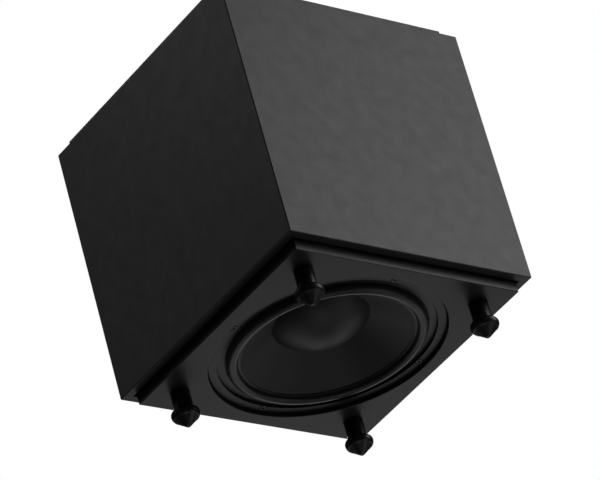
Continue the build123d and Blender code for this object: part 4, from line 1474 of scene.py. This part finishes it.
def direction(azimuth: float, elevation: float) -> Vector:
    """Unit vector from the object to a viewer: azimuth 0 is the front, elevation above the floor."""
    a, e = math.radians(azimuth), math.radians(elevation)
    return Vector((math.sin(a) * math.cos(e), -math.cos(a) * math.cos(e), math.sin(e)))


@dataclass
class Studio:
    """Camera, floor, white surround and lamps."""

    azimuth: float = -43.874
    elevation: float = -32.018
    roll: float = -16.01
    distance: float = 5.477
    lens: float = 289.45
    aim: tuple[float, float, float] = (0.0039, 0.0006, 0.195)
    floor_size: float = 60.0
    backdrop: float = 1.0
    ambient: float = 0.02
    lamps: tuple[Softbox, ...] = (
        Softbox("key_softbox", 44.0, 32.0, 2.6, (1.1, 1.1), 8.4),
        Softbox("key_low_softbox", 44.0, 10.0, 2.6, (1.1, 1.1), 12.0),
        Softbox("side_softbox", -136.0, 32.0, 2.6, (1.1, 1.1), 1.3),
        Softbox("near_side_softbox", -120.0, 40.0, 0.8, (0.4, 0.4), 0.22, (-0.17, 0.0, 0.4)),
        Softbox("grazing_softbox", 136.0, -10.0, 2.6, (1.1, 1.1), 3.1),
        Softbox("under_mirror_softbox", 136.0, -32.0, 2.6, (1.1, 1.1), 1.1),
        Softbox("under_rear_softbox", 166.0, -32.0, 2.6, (1.1, 1.1), 2.1),
        Softbox("under_right_softbox", 106.0, -32.0, 2.6, (1.1, 1.1), 1.9),
        Softbox("under_low_softbox", 180.0, -50.0, 2.6, (1.1, 1.1), 1.2),
        Softbox("under_side_softbox", 90.0, -50.0, 2.6, (1.1, 1.1), 1.0),
        Softbox("under_corner_softbox", 45.0, -50.0, 2.6, (1.1, 1.1), 2.4),
        Softbox("under_softbox", 0.0, -89.0, 2.6, (1.1, 1.1), 2.8),
        Softbox("rear_softbox", 140.0, 35.0, 2.6, (1.8, 1.8), 34.0),
        Softbox("overhead_softbox", 160.0, 75.0, 2.6, (1.4, 1.4), 10.0),
    )

    def build(self) -> None:
        """Sets the whole stage."""
        self.camera()
        self.floor()
        self.surroundings()
        for lamp in self.lamps:
            lamp.build()
        bpy.context.scene.view_settings.view_transform = "Standard"
        log.info("studio is set with %d lamps", len(self.lamps))

    def camera(self) -> None:
        """Long lens below the front left corner, tipped a little to one side."""
        data = bpy.data.cameras.new("camera")
        data.lens = self.lens
        data.sensor_width = 36.0
        data.clip_end = 100.0
        camera = bpy.data.objects.new("camera", data)
        back = direction(self.azimuth, self.elevation)
        camera.rotation_mode = "QUATERNION"
        level = (-back).to_track_quat("-Z", "Y")
        camera.rotation_quaternion = level @ Matrix.Rotation(math.radians(self.roll), 3, "Z").to_quaternion()
        camera.location = Vector(self.aim) + back * self.distance
        bpy.context.scene.collection.objects.link(camera)
        bpy.context.scene.camera = camera

    def floor(self) -> None:
        """Pale floor, seen only from above, so that low views look through it."""
        half = self.floor_size / 2
        corners = [(-half, -half, 0), (half, -half, 0), (half, half, 0), (-half, half, 0)]
        mesh = bpy.data.meshes.new("floor")
        mesh.from_pydata(corners, [], [(0, 1, 2, 3)])
        ground = bpy.data.objects.new("floor", mesh)
        bpy.context.scene.collection.objects.link(ground)
        material = bpy.data.materials.new("pale_floor")
        material.use_nodes = True
        tree = material.node_tree
        paint = tree.nodes["Principled BSDF"]
        paint.inputs["Base Color"].default_value = (0.82, 0.82, 0.82, 1.0)
        paint.inputs["Roughness"].default_value = 0.9
        paint.inputs["Emission Color"].default_value = (1.0, 1.0, 1.0, 1.0)
        paint.inputs["Emission Strength"].default_value = 0.35
        clear = tree.nodes.new("ShaderNodeBsdfTransparent")
        mix = tree.nodes.new("ShaderNodeMixShader")
        rays = tree.nodes.new("ShaderNodeLightPath")
        facing = tree.nodes.new("ShaderNodeNewGeometry")
        above = tree.nodes.new("ShaderNodeMath")
        above.operation = "SUBTRACT"
        tree.links.new(rays.outputs["Is Camera Ray"], above.inputs[0])
        tree.links.new(facing.outputs["Backfacing"], above.inputs[1])
        above.use_clamp = True
        tree.links.new(above.outputs[0], mix.inputs[0])
        tree.links.new(clear.outputs[0], mix.inputs[1])
        tree.links.new(paint.outputs[0], mix.inputs[2])
        tree.links.new(mix.outputs[0], tree.nodes["Material Output"].inputs["Surface"])
        mesh.materials.append(material)

    def surroundings(self) -> None:
        """White to the camera, dim grey to the object."""
        world = bpy.data.worlds.new("studio_air")
        bpy.context.scene.world = world
        world.use_nodes = True
        tree = world.node_tree
        rays = tree.nodes.new("ShaderNodeLightPath")
        level = tree.nodes.new("ShaderNodeMapRange")
        level.inputs["To Min"].default_value = self.ambient
        level.inputs["To Max"].default_value = self.backdrop
        tree.links.new(rays.outputs["Is Camera Ray"], level.inputs["Value"])
        air = tree.nodes["Background"]
        air.inputs["Color"].default_value = (1.0, 1.0, 1.0, 1.0)
        tree.links.new(level.outputs["Result"], air.inputs["Strength"])


def main() -> None:
    """Builds the studio, then each sub-assembly in order."""
    logging.basicConfig(level=logging.INFO, format="%(name)s: %(message)s")
    Studio().build()
    wall_low, wall_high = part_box("front_wall")
    side = wall_high.x
    wardrobe = Wardrobe(Vector((-side, -side, wall_low.z)), Vector((side, side, wall_high.z)))
    Cabinet(wardrobe).build()
    Woofer(wardrobe).build()
    Feet(wardrobe).build()
    Amplifier(wardrobe).build()


if __name__ == "__main__":
    main()
